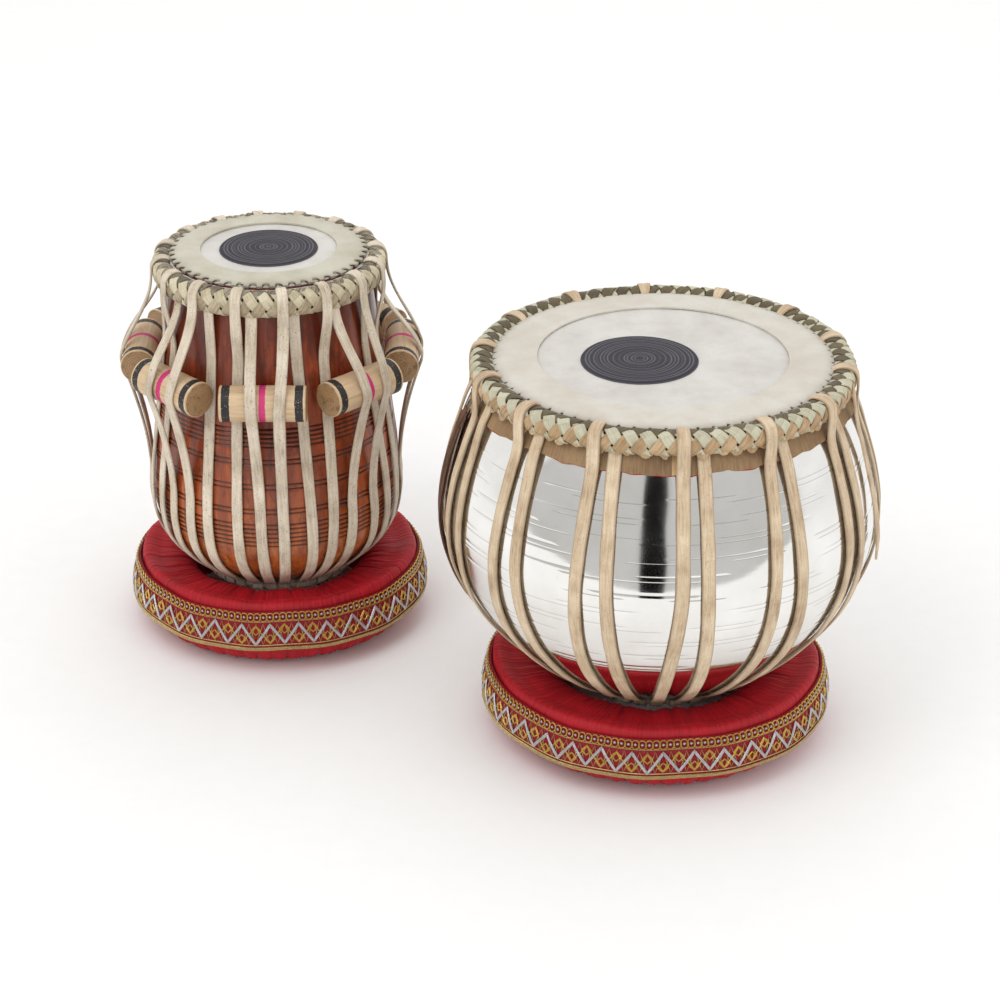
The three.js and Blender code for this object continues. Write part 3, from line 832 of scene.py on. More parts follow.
def add_patch(drum):
    """The tuning paste, laid on in layers: a low dome with fine rings, each a little smaller."""
    name = drum.name
    low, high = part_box(f"{name}_syahi")
    centre = (low + high) / 2
    radius = (high.x - low.x) / 2
    radii = np.linspace(0.0004, radius, 150)
    share = radii / radius
    crown = (high.z - low.z) * (1 - share ** 2) * 0.32
    chance = random.Random(17)
    cut = np.zeros(len(radii))
    layer = radius
    while layer > 0:
        cut = np.maximum(cut, chance.uniform(0.35, 1.0) * np.exp(-((radii - layer) / (0.42 * MM)) ** 2))
        layer -= chance.uniform(1.7, 3.9) * MM
    edge = np.clip((radius - radii) / (1.1 * MM), 0, 1) ** 0.5
    top = low.z + (high.z - low.z) * 0.68 * edge + crown - 0.2 * MM * cut
    profile = np.vstack([np.column_stack([radii, top]), [[radius, low.z], [0.0004, low.z]]])
    marks = np.concatenate([cut, [0, 0]])
    middle = Upright(centre)

    def push(azimuths, profile):
        return 0.04 * MM * ripple(middle.round(azimuths, profile[:, 0], profile[:, 1]), 6 * MM, 1.0)

    pile = turned(middle, profile, 200, push, lambda _: marks)
    add_piece(pile, f"{name}_tuning_patch", name, "tuning_patch", [PATCH], [f"{name}_syahi"], weld=True)


# ---------------------------------------------------------------- braids

STRAP_HALF_THICKNESS = 0.9 * MM


def braid_sizes(drum):
    """The braid's outer radius, top and foot."""
    low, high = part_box(f"{drum.name}_braid")
    return (high.x - low.x) / 2, high.z, low.z


# Where a braid's strips run, from the hole in the skin over the rim: out from the outer face and up from
# the top of the braid in the frame.
BRAID_PATHS = {
    "dayan": [(-14.3, -5.4), (-12.6, -3.4), (-10.2, -1.5), (-7.0, -0.9), (-3.4, -2.3), (-1.4, -5.3),
              (-1.0, -9.8), (-1.7, -14.2), (-3.6, -17.4), (-6.2, -18.0)],
    "bayan": [(-16.4, -5.4), (-14.6, -3.5), (-12.0, -1.9), (-9.0, -1.2), (-5.0, -1.7), (-2.0, -3.8),
              (-0.9, -7.4), (-1.3, -11.2), (-2.9, -14.0), (-5.2, -14.6)],
}
BRAID_ROWS = 4
TIPS = {"dayan": (0, 0), "bayan": (1.0 * MM, 4.5 * MM)}      # shortest and longest cut ends below the weave
WEAVE_LIFT = 0.62 * MM
STRIP_THICKNESS = 0.62 * MM


def braid_path(drum):
    """The weave's route as a curve of [radius, height] points."""
    outer, top, _ = braid_sizes(drum)
    return Curve([(outer + out * MM, top + up * MM) for out, up in BRAID_PATHS[drum.name]])


def strip_route(drum, hole, way, path, rows, spacing, over):
    """One strip of the braid: its points, where its face looks, and how far along the braid each point is.
    way is 1 or -1 for strips that slant right or left, and over is the crossing it starts above."""
    share = np.linspace(0, 1, rows * 9 + 1)
    flat = path.at(share * path.length)
    slopes = unit(np.gradient(flat, axis=0))
    outward, upward = -slopes[:, 1], slopes[:, 0]
    lift = WEAVE_LIFT * over * np.cos(np.pi * rows * share)
    azimuths = first_hole(drum) + (hole + way * 0.5 * rows * share) * spacing
    points = drum.round(azimuths, flat[:, 0] + outward * lift, flat[:, 1] + upward * lift)
    return points, drum.ways(azimuths, outward, upward), share


def add_braid(drum, pale, dark, worn):
    """Pale strips slant one way and dark ones the other, each over and under in turn. The dark strips are
    worn to another tone over the lower half."""
    name = drum.name
    outer, _, foot = braid_sizes(drum)
    path = braid_path(drum)
    rows = BRAID_ROWS
    spacing = 360 / HOLES[name]
    half_width = 0.48 * math.radians(spacing) * outer / math.sqrt(2)
    chance = random.Random(11)
    pile = Pile()
    for hole in range(HOLES[name]):
        for way, over, finish in ((1, 1, 0), (-1, -1, 1)):
            points, facing, share = strip_route(drum, hole, way, path, rows, spacing, over)
            seed = chance.random()
            narrow = 0.34 + 0.66 * np.clip(share / 0.17, 0, 1)
            jitter = 1 + 0.12 * wander(share * path.length, hole * 2 + way, 6 * MM)
            points[:, 2] += chance.uniform(-0.4, 0.4) * MM
            width = half_width * narrow * jitter
            cut = len(points) // 2
            for part, tone in ((slice(0, cut + 1), finish), (slice(cut, None), 2 * finish)):
                pile.strand(points[part], facing[part], width[part], STRIP_THICKNESS, FLAT, finish=tone,
                            seed=seed * 40)
    shortest, longest = TIPS[name]
    for hole in range(HOLES[name] if longest else 0):
        azimuth = first_hole(drum) + (hole + chance.uniform(-0.3, 0.3)) * spacing
        length = chance.uniform(shortest, longest)
        start = path.at([path.length * 0.9])[0]
        azimuths = azimuth + np.linspace(0, chance.uniform(-1.5, 1.5), 7)
        radii = start[0] + np.linspace(0.0, chance.uniform(0.2, 1.2), 7) * MM
        heights = start[1] - np.linspace(-2 * MM, length, 7)
        shrink = np.array([1.0, 1.0, 0.97, 0.9, 0.78, 0.6, 0.3]) * chance.uniform(0.75, 1.25)
        pile.strand(drum.round(azimuths, radii, heights), drum.ways(azimuths, 1.0, 0.1), half_width * shrink,
                    0.45 * MM, FLAT, finish=2, seed=chance.random() * 40)
    add_piece(pile, f"{name}_braid_weave", name, "braid", [pale, dark, worn], [f"{name}_braid"])

    # The core under the weave: near black, as painted shade in the weave's gaps and the lacing holes.
    core = Pile()
    ring = 240
    azimuths = np.arange(ring) * 360 / ring
    start = path.points[0]
    middle = (start + (outer, foot)) / 2
    section = [(0.92 * (radius - middle[0]) + middle[0] - 0.6 * MM, 0.88 * (height - middle[1]) + middle[1])
               for radius, height in path.spread(3 * MM)]
    shelf = SKIN_EDGE[name] - 1.3 * HOLE_SIZE[name][1]
    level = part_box(f"{name}_rim_skin")[0].z - 0.9 * MM
    back = [(section[-1][0] - 1.5 * MM, section[-1][1] + 2 * MM), (shelf, level - 3 * MM), (shelf, level)]
    profile = np.array([*section[1:], *back])
    core.grid(drum.round(azimuths[:, None], profile[:, 0], profile[:, 1]), wrap_rows=True, wrap_columns=True)
    add_piece(core, f"{name}_braid_core", name, "braid", [CORE_PAINTED_SHADE])


# ---------------------------------------------------------------- base rings and collar

def add_base_ring(drum):
    """Strips of rawhide wound on each other into a ring, under the flat of the shell."""
    name = drum.name
    low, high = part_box(f"{name}_base_ring")
    thickness = high.z - low.z
    radius = (high.x - low.x) / 2 - thickness / 2
    strands = 5
    turns = 13
    spin = np.linspace(0, 360, 420, endpoint=False)
    pile = Pile()
    for strand in range(strands):
        around = np.radians(turns * spin + strand * 360 / strands)
        off = thickness * (0.36 + 0.04 * np.sin(np.radians(spin * (3 + strand))))
        points = drum.round(spin, radius + off * np.cos(around), (low.z + high.z) / 2 + off * np.sin(around))
        pile.strand(points, drum.ways(spin, np.cos(around), np.sin(around)), 2.6 * MM, 1.15 * MM, FLAT,
                    closed=True, seed=strand * 3.7)
    add_piece(pile, f"{name}_base_ring_wound", name, "base_ring", [BASE_HIDE], [f"{name}_base_ring"])


def add_collar():
    """The folded edges of the large drum's skins, which hang below the braid, and the cloth under them."""
    low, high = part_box("bayan_collar")
    count = 1200
    azimuths = np.arange(count) * 360 / count
    folds = np.sin(np.radians(azimuths * 70)) + 0.6 * np.sin(np.radians(azimuths * 29) + 1.3)
    ragged = np.array([noise.noise(Vector((math.sin(turn) * 9, math.cos(turn) * 9, 0.3)))
                       for turn in map(math.radians, azimuths)])
    shares = np.linspace(0, 1, 12)
    for layer, finish, drop, lift, wave in (("skin", COLLAR_SKIN, 0.0, 1.1, 1.0),
                                            ("cloth", RED_CLOTH, 0.5, 0.55, 0.3)):
        foot = low.z + 1.0 * MM - drop * MM + (1.6 * ragged + 0.5 * folds * wave) * MM * (1 + drop)
        foot = np.clip(foot, low.z - 3.5 * MM, None)
        heights = high.z + 7 * MM + (foot - high.z - 7 * MM)[:, None] * shares[None, :]
        surface = np.array([bayan.outside.off(row, 0) for row in heights])
        fold = (lift + 0.45 * (1 + folds[:, None] * wave) * shares) * MM
        outer_face = bayan.round(azimuths[:, None], surface[..., 0] + fold + 0.5 * MM, surface[..., 1])
        inner_face = bayan.round(azimuths[:, None], surface[..., 0] + fold - 0.3 * MM, surface[..., 1])
        pile = Pile()
        lay = np.stack(np.broadcast_arrays(np.radians(azimuths)[:, None] * 0.12, heights, 0.0), axis=-1)
        both = np.concatenate([outer_face, inner_face[:, ::-1]], axis=1)
        pile.grid(both, wrap_rows=True, wrap_columns=True, lay=np.concatenate([lay, lay[:, ::-1]], axis=1))
        replaced = ["bayan_collar"] if layer == "skin" else []
        slot = "rim_skin" if layer == "skin" else "red_cloth"
        add_piece(pile, f"bayan_collar_{layer}", "bayan", slot, [finish], replaced, smooth_angle=60)


# ---------------------------------------------------------------- thongs

STRAP_HALF_WIDTH = {"dayan": 4.2 * MM, "bayan": 4.6 * MM}
CLEAR = 0.35 * MM + STRAP_HALF_THICKNESS
OVER_WEAVE = WEAVE_LIFT + STRIP_THICKNESS + 0.7 * STRAP_HALF_THICKNESS
STRAP_STEP = 2.0 * MM
OVER_DOWEL = 5.2                     # azimuths of the runs from the dowel's middle, in front and behind
BEHIND_DOWEL = 15.5
DOWELS = 8
DOWEL_LOW, DOWEL_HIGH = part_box("gatta_1")
DOWEL_RADIUS = (DOWEL_HIGH.z - DOWEL_LOW.z) / 2
DOWEL_HEIGHT = (DOWEL_HIGH.z + DOWEL_LOW.z) / 2
DOWEL_OUT = dayan.axis.y - (DOWEL_HIGH.y + DOWEL_LOW.y) / 2
BELLY_HEIGHT = 165 * MM
BELLY_LANE = 4.0


def base_sizes(drum):
    """The base ring's middle radius and height, and half its thickness."""
    low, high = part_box(f"{drum.name}_base_ring")
    half = (high.z - low.z) / 2
    return (high.x - low.x) / 2 - half, (high.z + low.z) / 2, half


def over_braid(drum):
    """Stops of a thong from its hole in the skin, over the weave and down its outer face."""
    outer, _, foot = braid_sizes(drum)
    path = braid_path(drum)
    heights = path.points[:, 1]
    widest = int(np.argmax(path.points[:, 0]))
    slopes = unit(np.gradient(path.points, axis=0))[:widest + 1]
    outside = path.points[:widest + 1] + np.column_stack([-slopes[:, 1], slopes[:, 0]]) * OVER_WEAVE
    start = (SKIN_EDGE[drum.name] - 1.6 * MM, heights[0] - 1.5 * MM)
    return [start, *map(tuple, outside), (outer + CLEAR, foot + 3 * MM)]


def under_base(drum):
    """Stops of a thong round the base ring, from its outside to underneath it."""
    radius, height, half = base_sizes(drum)
    reach = half + STRAP_HALF_THICKNESS + 0.5 * MM
    leans = (20, -25, -65, -100, -130)
    return [(radius + reach * math.cos(math.radians(lean)), height + reach * math.sin(math.radians(lean)))
            for lean in leans]


def lane_at(height, at_braid, at_middle, at_base, middle_height, drum):
    """Azimuth of a run at a height, straight between the braid, a middle height and the base ring."""
    top = braid_sizes(drum)[2]
    base = base_sizes(drum)[1]
    return float(np.interp(height, [base, middle_height, top], [at_base, at_middle, at_braid]))


def strap(drum, stops, lane, seed, tapered=True):
    """A thong along (radius, height) stops, top first. lane gives its azimuth at a height."""
    azimuths = np.array([lane(height) for _, height in stops])
    flat = np.array(stops)
    path = Curve(drum.round(azimuths, flat[:, 0], flat[:, 1])).spread(STRAP_STEP)
    out = path[:, :2] - np.array(drum.axis)[:2]
    radii = np.linalg.norm(out, axis=1)
    turn = np.degrees(np.arctan2(out[:, 0], -out[:, 1]))
    slopes = unit(np.gradient(np.column_stack([radii, path[:, 2]]), axis=0))
    run = np.arange(len(path)) * STRAP_STEP
    facing = drum.ways(turn, -slopes[:, 1], slopes[:, 0])
    sideways = drum.ways(turn + 90, 1.0, 0.0)
    facing = facing + sideways * (0.10 * wander(run, seed + 50, 40 * MM))[:, None]
    width = STRAP_HALF_WIDTH[drum.name] * (1 + 0.09 * wander(run, seed))
    if tapered:
        width = width * (0.42 + 0.58 * np.clip(run / (15 * MM), 0, 1))
    thickness = STRAP_HALF_THICKNESS * (1 + 0.12 * wander(run, seed + 90))
    return swept(path, facing, width, thickness, STRAP, seed=seed * 1.7)


def dayan_stops():
    """The (radius, height) stops of the runs below the braid: over a dowel, and behind one."""
    wrap = DOWEL_RADIUS + CLEAR + 0.5 * MM
    front = [(DOWEL_OUT + 0.5 * MM + wrap * math.cos(math.radians(lean)),
              DOWEL_HEIGHT + wrap * math.sin(math.radians(lean))) for lean in (26, 12, 0, -14, -24)]
    behind = [dayan.outside.off(height * MM, CLEAR)[0] for height in (232, 218, 204)]
    above = [dayan.outside.off(height * MM, 1.3 * MM)[0] for height in (186, 158)]
    belly = [dayan.outside.off(height * MM, 2.2 * MM)[0] for height in (128, 103, 84, 70, 60, 54)]
    return [*front, *belly], [*behind, *above, *belly]


def add_dayan_thongs():
    """Each loop has a run behind its dowel, which stays on the drum, and a run over the dowel, in an upper
    and a lower piece that meet on the dowel's front."""
    spacing = 360 / LOOPS["dayan"]
    shift = FIRST_LOOP["dayan"] + spacing / 2
    over_stops, behind_stops = dayan_stops()
    outer, top, foot = braid_sizes(dayan)
    hidden = [(outer - 5.5 * MM, top - 9 * MM), (outer - 5.0 * MM, foot + 1 * MM)]
    chance = random.Random(5)
    uppers = [Pile() for dowel in range(DOWELS)]
    lowers = [Pile() for dowel in range(DOWELS)]
    for index in range(LOOPS["dayan"]):
        centre = (index - 0.5) * spacing + shift
        left_of_dowel = index % 2 == 0
        side = -1 if left_of_dowel else 1
        dowel = centre - side * spacing / 2
        pile = Pile()
        for sign in (-1, 1):
            over_dowel = (sign == 1) == left_of_dowel
            offset = OVER_DOWEL if over_dowel else BEHIND_DOWEL
            at_dowel = dowel + side * (offset + chance.uniform(-1.0, 1.0))
            at_base = centre + sign * spacing / 4 + chance.uniform(-2.6, 2.6)
            at_braid = centre + sign * LANES["dayan"] + chance.uniform(-0.5, 0.5)

            def lane(height):
                return lane_at(height, at_braid, at_dowel, at_base, DOWEL_HEIGHT, dayan)

            start = over_braid(dayan) if sign == -1 else hidden
            stops = [*start, *(over_stops if over_dowel else behind_stops), *under_base(dayan)]
            seed = index * 2 + (sign + 1) / 2
            rings, lay = strap(dayan, stops, lane, seed, tapered=sign == -1)
            if not over_dowel:
                pile.grid(rings, wrap_columns=True, cap=True, lay=lay)
                continue
            heights = rings[:, :, 2].mean(axis=1)
            cut = int(np.argmin(np.abs(heights - DOWEL_HEIGHT)))
            uppers[index // 2].grid(rings[:cut + 1], wrap_columns=True, cap=True, lay=lay[:cut + 1])
            lowers[index // 2].grid(rings[cut:], wrap_columns=True, cap=True, lay=lay[cut:])
        add_piece(pile, f"dayan_thong_run_{index + 1}", "dayan", "thong", [THONG],
                  [f"dayan_thong_loop_{index + 1}"], smooth_angle=70)
    front = DOWEL_OUT + DOWEL_RADIUS + CLEAR
    for index in range(DOWELS):
        azimuth = index * 360 / DOWELS
        spots = {name: Vector(dayan.round(azimuth, radius, height)) for name, radius, height in (
            ("braid", outer + CLEAR, foot - 2 * MM), ("above", front - 1.5 * MM, DOWEL_HEIGHT + 8 * MM),
            ("below", front - 1.5 * MM, DOWEL_HEIGHT - 8 * MM), ("belly", dayan.outside.radius(0.15), 0.15))}
        for piles, name, first, last, start, end in (
                (uppers, "upper", "dayan", f"gatta_{index + 1}", "braid", "above"),
                (lowers, "lower", f"gatta_{index + 1}", "dayan", "below", "belly")):
            piece = piles[index].build(f"gatta_{index + 1}_thongs_{name}", THONG, smooth_angle=70)
            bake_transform(piece)


def add_bayan_thongs():
    spacing = 360 / LOOPS["bayan"]
    outer, top, foot = braid_sizes(bayan)
    down = (230, 202, 172, 144, 118, 92, 72, 58, 51.5)
    belly = [bayan.outside.off(height * MM, 1.9 * MM)[0] for height in down]
    low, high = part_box("bayan_collar")
    collar = [bayan.outside.off(height, 3.3 * MM)[0] for height in (high.z, low.z)]
    hidden = [(outer - 6.5 * MM, top - 6 * MM), (outer - 5.5 * MM, foot + 1 * MM)]
    free = [(outer + CLEAR, low.z + 2 * MM)]
    chance = random.Random(8)
    for index in range(LOOPS["bayan"]):
        centre = FIRST_LOOP["bayan"] + index * spacing
        pile = Pile()
        for sign in (-1, 1):
            at_braid = centre + sign * LANES["bayan"] + chance.uniform(-0.3, 0.3)
            at_belly = centre + sign * BELLY_LANE + chance.uniform(-0.8, 0.8)
            at_base = centre + sign * spacing / 4 + chance.uniform(-2.4, 2.4)

            def lane(height):
                return lane_at(height, at_braid, at_belly, at_base, BELLY_HEIGHT, bayan)

            start = [*over_braid(bayan), *free] if sign == -1 else [*hidden, *collar]
            stops = [*start, *belly, *under_base(bayan)]
            seed = 100 + index * 2 + (sign + 1) / 2
            rings, lay = strap(bayan, stops, lane, seed, tapered=sign == -1)
            pile.grid(rings, wrap_columns=True, cap=True, lay=lay)
        add_piece(pile, f"bayan_thong_run_{index + 1}", "bayan", "thong", [BAYAN_THONG],
                  [f"bayan_thong_loop_{index + 1}"], smooth_angle=70)


def add_spare_thong():
    """The spare end of the large drum's thong, folded into a hank and tucked behind the runs."""
    low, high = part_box("bayan_spare_thong")
    middle = (low + high) / 2
    azimuth = math.degrees(math.atan2(middle.x - bayan.axis.x, bayan.axis.y - middle.y))
    pile = Pile()
    chance = random.Random(3)
    shares = np.linspace(0, 1, 70)
    for strand in range(6):
        lane = (strand - 2.5) * 1.25
        top = high.z - chance.uniform(0, 14) * MM
        foot = low.z + chance.uniform(0, 20) * MM
        heights = top + (foot - top) * shares
        lift = (2.2 + 1.3 * (strand % 2) + 0.5 * wander(shares, strand + 200, 0.3)) * MM
        surface = np.array([bayan.outside.off(height, out)[0] for height, out in zip(heights, lift)])
        azimuths = azimuth + lane * (1 - 0.5 * np.sin(np.pi * shares))
        azimuths = azimuths + 1.4 * wander(shares, strand + 220, 0.4)
        points = bayan.round(azimuths, surface[:, 0], surface[:, 1])
        facing = bayan.ways(azimuths + 25 * wander(shares, strand + 240, 0.35), 1.0, 0.15)
        pile.strand(points, facing, (2.1 + 0.5 * wander(shares, strand + 260, 0.3)) * MM, 0.75 * MM, STRAP,
                    seed=strand * 5.3)
    add_piece(pile, "bayan_spare_hank", "bayan", "dark_thong", [SPARE_HIDE], ["bayan_spare_thong"])


# The loose end's route down from the braid, as (radius, height) points on one azimuth.
LOOSE_AZIMUTH = 70.5
LOOSE_WIDTH = 7 * MM
LOOSE_ROUTE = [(132.2, 270), (133.2, 262), (136, 248), (140.5, 232), (145, 215), (149.5, 197), (152.5, 180),
               (154, 164), (153.6, 150)]


def add_loose_end():
    """The thong's end hangs free down the right of the large drum, cut to a point."""
    flat = np.array(LOOSE_ROUTE) * MM
    route = Curve(bayan.round(np.full(len(flat), LOOSE_AZIMUTH), flat[:, 0], flat[:, 1]))
    path = route.spread(2 * MM)
    run = np.linspace(0, route.length, len(path))
    azimuths = LOOSE_AZIMUTH + 14 * wander(run, 300, 90 * MM)
    point = np.clip((route.length - run) / (16 * MM), 0.06, 1)
    pile = Pile()
    pile.strand(path, bayan.ways(azimuths, 1.0, 0.2), LOOSE_WIDTH / 2 * point, 0.85 * MM, STRAP, seed=9.0)
    piece = add_piece(pile, "bayan_loose_end", "bayan", "thong", [BAYAN_THONG], ["bayan_loose_thong_end"])
    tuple(path[0])


# ---------------------------------------------------------------- dowels

DOWEL_CHAMFER = 0.9 * MM


def add_dowels():
    chance = random.Random(21)
    for number in range(1, DOWELS + 1):
        low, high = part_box(f"gatta_{number}")
        centre = (low + high) / 2
        azimuth = (number - 1) * 360 / DOWELS
        half = (DOWEL_HIGH.x - DOWEL_LOW.x) / 2
        radius = DOWEL_RADIUS
        body = np.linspace(-half + DOWEL_CHAMFER, half - DOWEL_CHAMFER, 30)
        face = np.linspace(0.0003, radius - DOWEL_CHAMFER, 9)
        lengths = np.concatenate([np.full(9, -half), body, np.full(9, half)])
        radii = np.concatenate([face, np.full(30, radius), face[::-1]])
        ends = np.concatenate([np.ones(9), np.zeros(30), np.ones(9)])
        turn = np.arange(72)[:, None] * TURN / 72
        spots = np.stack(np.broadcast_arrays(lengths, radii * np.cos(turn), radii * np.sin(turn)), axis=-1)
        shaved = 0.25 * MM * (ripple(spots, 17 * MM, number * 3.1) - 0.7)
        size = np.maximum(radii, 0.0002) + shaved * (radii > 1 * MM)
        ends_moved = 0.12 * MM * ripple(spots, 6 * MM, number * 1.3) * ends * np.sign(lengths)
        points = np.stack([lengths + ends_moved - 0.15 * MM * ends * np.sign(lengths), size * np.cos(turn),
                           size * np.sin(turn)], axis=-1)
        pile = Pile()
        pile.grid(points, wrap_rows=True, shade=ends)
        piece = pile.build(f"gatta_{number}_dowel", DOWEL_WOOD, smooth_angle=35, weld=True)
        spin = Matrix.Rotation(chance.uniform(0, TURN), 4, "X")
        round_drum = Matrix.Rotation(math.radians(azimuth), 4, "Z")
        piece.matrix_world = Matrix.Translation(centre) @ round_drum @ spin
        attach(piece, f"gatta_{number}")
        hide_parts(f"gatta_{number}")


# ---------------------------------------------------------------- cushions

VOXEL = 5 * MM
STUFFING_PRESSURE = 4.0
STUFFING_FRAMES = 20
STUFFING_CAP = 11 * MM
SHRINK = 2.0 * MM
BRIM_SWELL = 7.0 * MM               # how far the cloth swells out over the ribbon's upper edge
BROAD_GATHERS = 64
FINE_GATHERS = 170
GATHER_DEPTH = 1.15 * MM
BRIM_PLEATS = 250
PLEAT_DEPTH = 0.5 * MM
PUCKER_GATHERS = 120
PUCKER_HEIGHT = 1.7 * MM
DRUM_CLEAR = 3.4 * MM               # from the shell to the cloth
SECTION_STEPS = 96
RING_STEPS = 900
CAST_STEPS = 180


def scratch_object(name, mesh):
    made = bpy.data.objects.new(name, mesh)
    bpy.context.scene.collection.objects.link(made)
    return made


def shown_mesh(thing):
    """A copy of an object's mesh with its modifiers applied."""
    bpy.context.view_layer.update()
    return bpy.data.meshes.new_from_object(thing.evaluated_get(bpy.context.evaluated_depsgraph_get()))


def mesh_lists(mesh):
    points = [vertex.co.copy() for vertex in mesh.vertices]
    faces = [tuple(face.vertices) for face in mesh.polygons]
    return points, faces


def stuffed(node):
    """The CAD ring a little shrunk, remeshed fine, and pressed out as cloth by its stuffing. The cloth moves
    little, about 0.1 mm on average; what shows on the cushions is made in add_cushion."""
    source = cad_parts[node].data.copy()
    normals = np.array([vertex.normal[:] for vertex in source.vertices])
    corners = np.array([vertex.co[:] for vertex in source.vertices])
    source.vertices.foreach_set("co", (corners - normals * SHRINK).ravel())
    ring = scratch_object("stuffing_start", source)
    remesh = ring.modifiers.new("remesh", "REMESH")
    remesh.mode = "VOXEL"
    remesh.voxel_size = VOXEL
    fine = shown_mesh(ring)
    bpy.data.objects.remove(ring)
    sack = scratch_object("stuffing", fine)
    start = np.array([vertex.co[:] for vertex in fine.vertices])
    cloth = sack.modifiers.new("cloth", "CLOTH")
    cloth.settings.quality = 5
    cloth.settings.use_pressure = True
    cloth.settings.uniform_pressure_force = STUFFING_PRESSURE
    cloth.settings.effector_weights.gravity = 0
    cloth.point_cache.frame_start = 1
    cloth.point_cache.frame_end = STUFFING_FRAMES
    for step in range(1, STUFFING_FRAMES + 1):
        bpy.context.scene.frame_set(step)
    swollen = shown_mesh(sack)
    end = np.array([vertex.co[:] for vertex in swollen.vertices])
    move = end - start
    size = np.maximum(np.linalg.norm(move, axis=1, keepdims=True), 1e-9)
    end = start + move * np.minimum(1, STUFFING_CAP / size)
    swollen.vertices.foreach_set("co", end.ravel())
    swollen.update()
    bpy.data.objects.remove(sack)
    bpy.context.scene.frame_set(1)
    return swollen


def soft_average(values, reach, axis):
    """Values averaged with their neighbours round a ring or section."""
    kernel = np.hanning(2 * reach + 3)[1:-1]
    kernel /= kernel.sum()
    total = np.zeros_like(values)
    for offset, weight in zip(range(-reach, reach + 1), kernel):
        total += weight * np.roll(values, offset, axis=axis)
    return total


def gathers(azimuths, lean, chance, count, depth, width):
    """Creases at uneven places round a ring. lean is 0 at the hole and 1 at the ribbon, and each crease
    wanders and fades along it. Returns a share of depth, 0 to about 1."""
    folds = np.zeros((len(azimuths), len(lean)))
    for crease in range(count):
        middle = (crease + chance.uniform(-0.42, 0.42)) * 360 / count
        slant = chance.uniform(-5, 5)
        reach = chance.uniform(0.25, 1.25)
        strength = depth * chance.uniform(0.35, 1.0)
        spread = width * chance.uniform(0.6, 1.5) * (1 + 0.8 * np.clip(lean, 0, 1))
        away = (azimuths[:, None] - middle - slant * lean[None, :] + 180) % 360 - 180
        fade = np.clip((reach - lean) / (0.45 * reach), 0, 1)
        folds += strength * fade * np.exp(-(away / spread) ** 2)
    return folds


def cast_section(drum, node, middle, turn):
    """How far the stuffed ring reaches from the middle of its section, with a row for each azimuth."""
    tree = BVHTree.FromPolygons(*mesh_lists(stuffed(node)))
    cast_azimuths = np.arange(CAST_STEPS) * 360 / CAST_STEPS
    starts = drum.round(cast_azimuths, middle[0], middle[1])
    ways = drum.ways(cast_azimuths[:, None], np.cos(turn)[None, :], np.sin(turn)[None, :])
    reach = np.zeros((CAST_STEPS, SECTION_STEPS))
    for row in range(CAST_STEPS):
        for column in range(SECTION_STEPS):
            hit = tree.ray_cast(Vector(starts[row]), Vector(ways[row, column]))
            reach[row, column] = hit[3] if hit[0] else reach[row, column - 1]
    reach = soft_average(soft_average(reach, 2, 0), 1, 1)
    azimuths = np.arange(RING_STEPS) * 360 / RING_STEPS
    return np.array([np.interp(azimuths, np.append(cast_azimuths, 360), np.append(column, column[0]))
                     for column in reach.T]).T


def sewn(fine, azimuths, turn, chance, brim):
    """The reach with the gathers on top, the swell over the ribbon at brim, and the puckers underneath. Also
    the painted shade of its creases, a share for darkening the cloth's colour."""
    degrees = np.degrees(turn)
    lean = np.interp(degrees, [0, 40, 62, 165, 230, 360], [1.3, 1.1, 1.0, 0.0, -0.3, 1.3])
    top = np.interp(degrees, [0, 25, 50, 180, 215, 250, 360], [0, 0, 1, 1, 0.5, 0, 0])
    broad = gathers(azimuths, lean, chance, BROAD_GATHERS, 1.0, 0.9)
    folds = broad + 0.45 * gathers(azimuths, lean, chance, FINE_GATHERS, 1.0, 0.42)
    soft = 0.8 * MM * np.sin(np.radians(azimuths * 7) + 2 * np.sin(np.radians(azimuths * 3)))[:, None] * top
    near_hole = 1 + 0.8 * np.exp(-((degrees - 160) / 26) ** 2)
    fine = fine - folds * GATHER_DEPTH * top * near_hole + soft
    pleats = gathers(azimuths, lean * 0, chance, BRIM_PLEATS, 1.0, 0.32) * top
    fine = fine - PLEAT_DEPTH * pleats + BRIM_SWELL * np.exp(-((turn - brim) / math.radians(13)) ** 2)

    puff = np.interp(degrees, [0, 275, 300, 325, 340, 360], [0, 0, 1, 1, 0.2, 0])
    waves = azimuths * 46 + 140 * np.sin(np.radians(azimuths * 5))
    puckers = np.abs(np.sin(np.radians(waves) / 2)) ** 0.7 - 0.55
    fine = fine + puckers[:, None] * PUCKER_HEIGHT * puff
    fine = fine + gathers(azimuths, lean * 0, chance, PUCKER_GATHERS, -0.8 * MM, 0.5) * puff
    return fine, np.clip((0.5 * folds + 0.4 * pleats) * top, 0, 0.8)


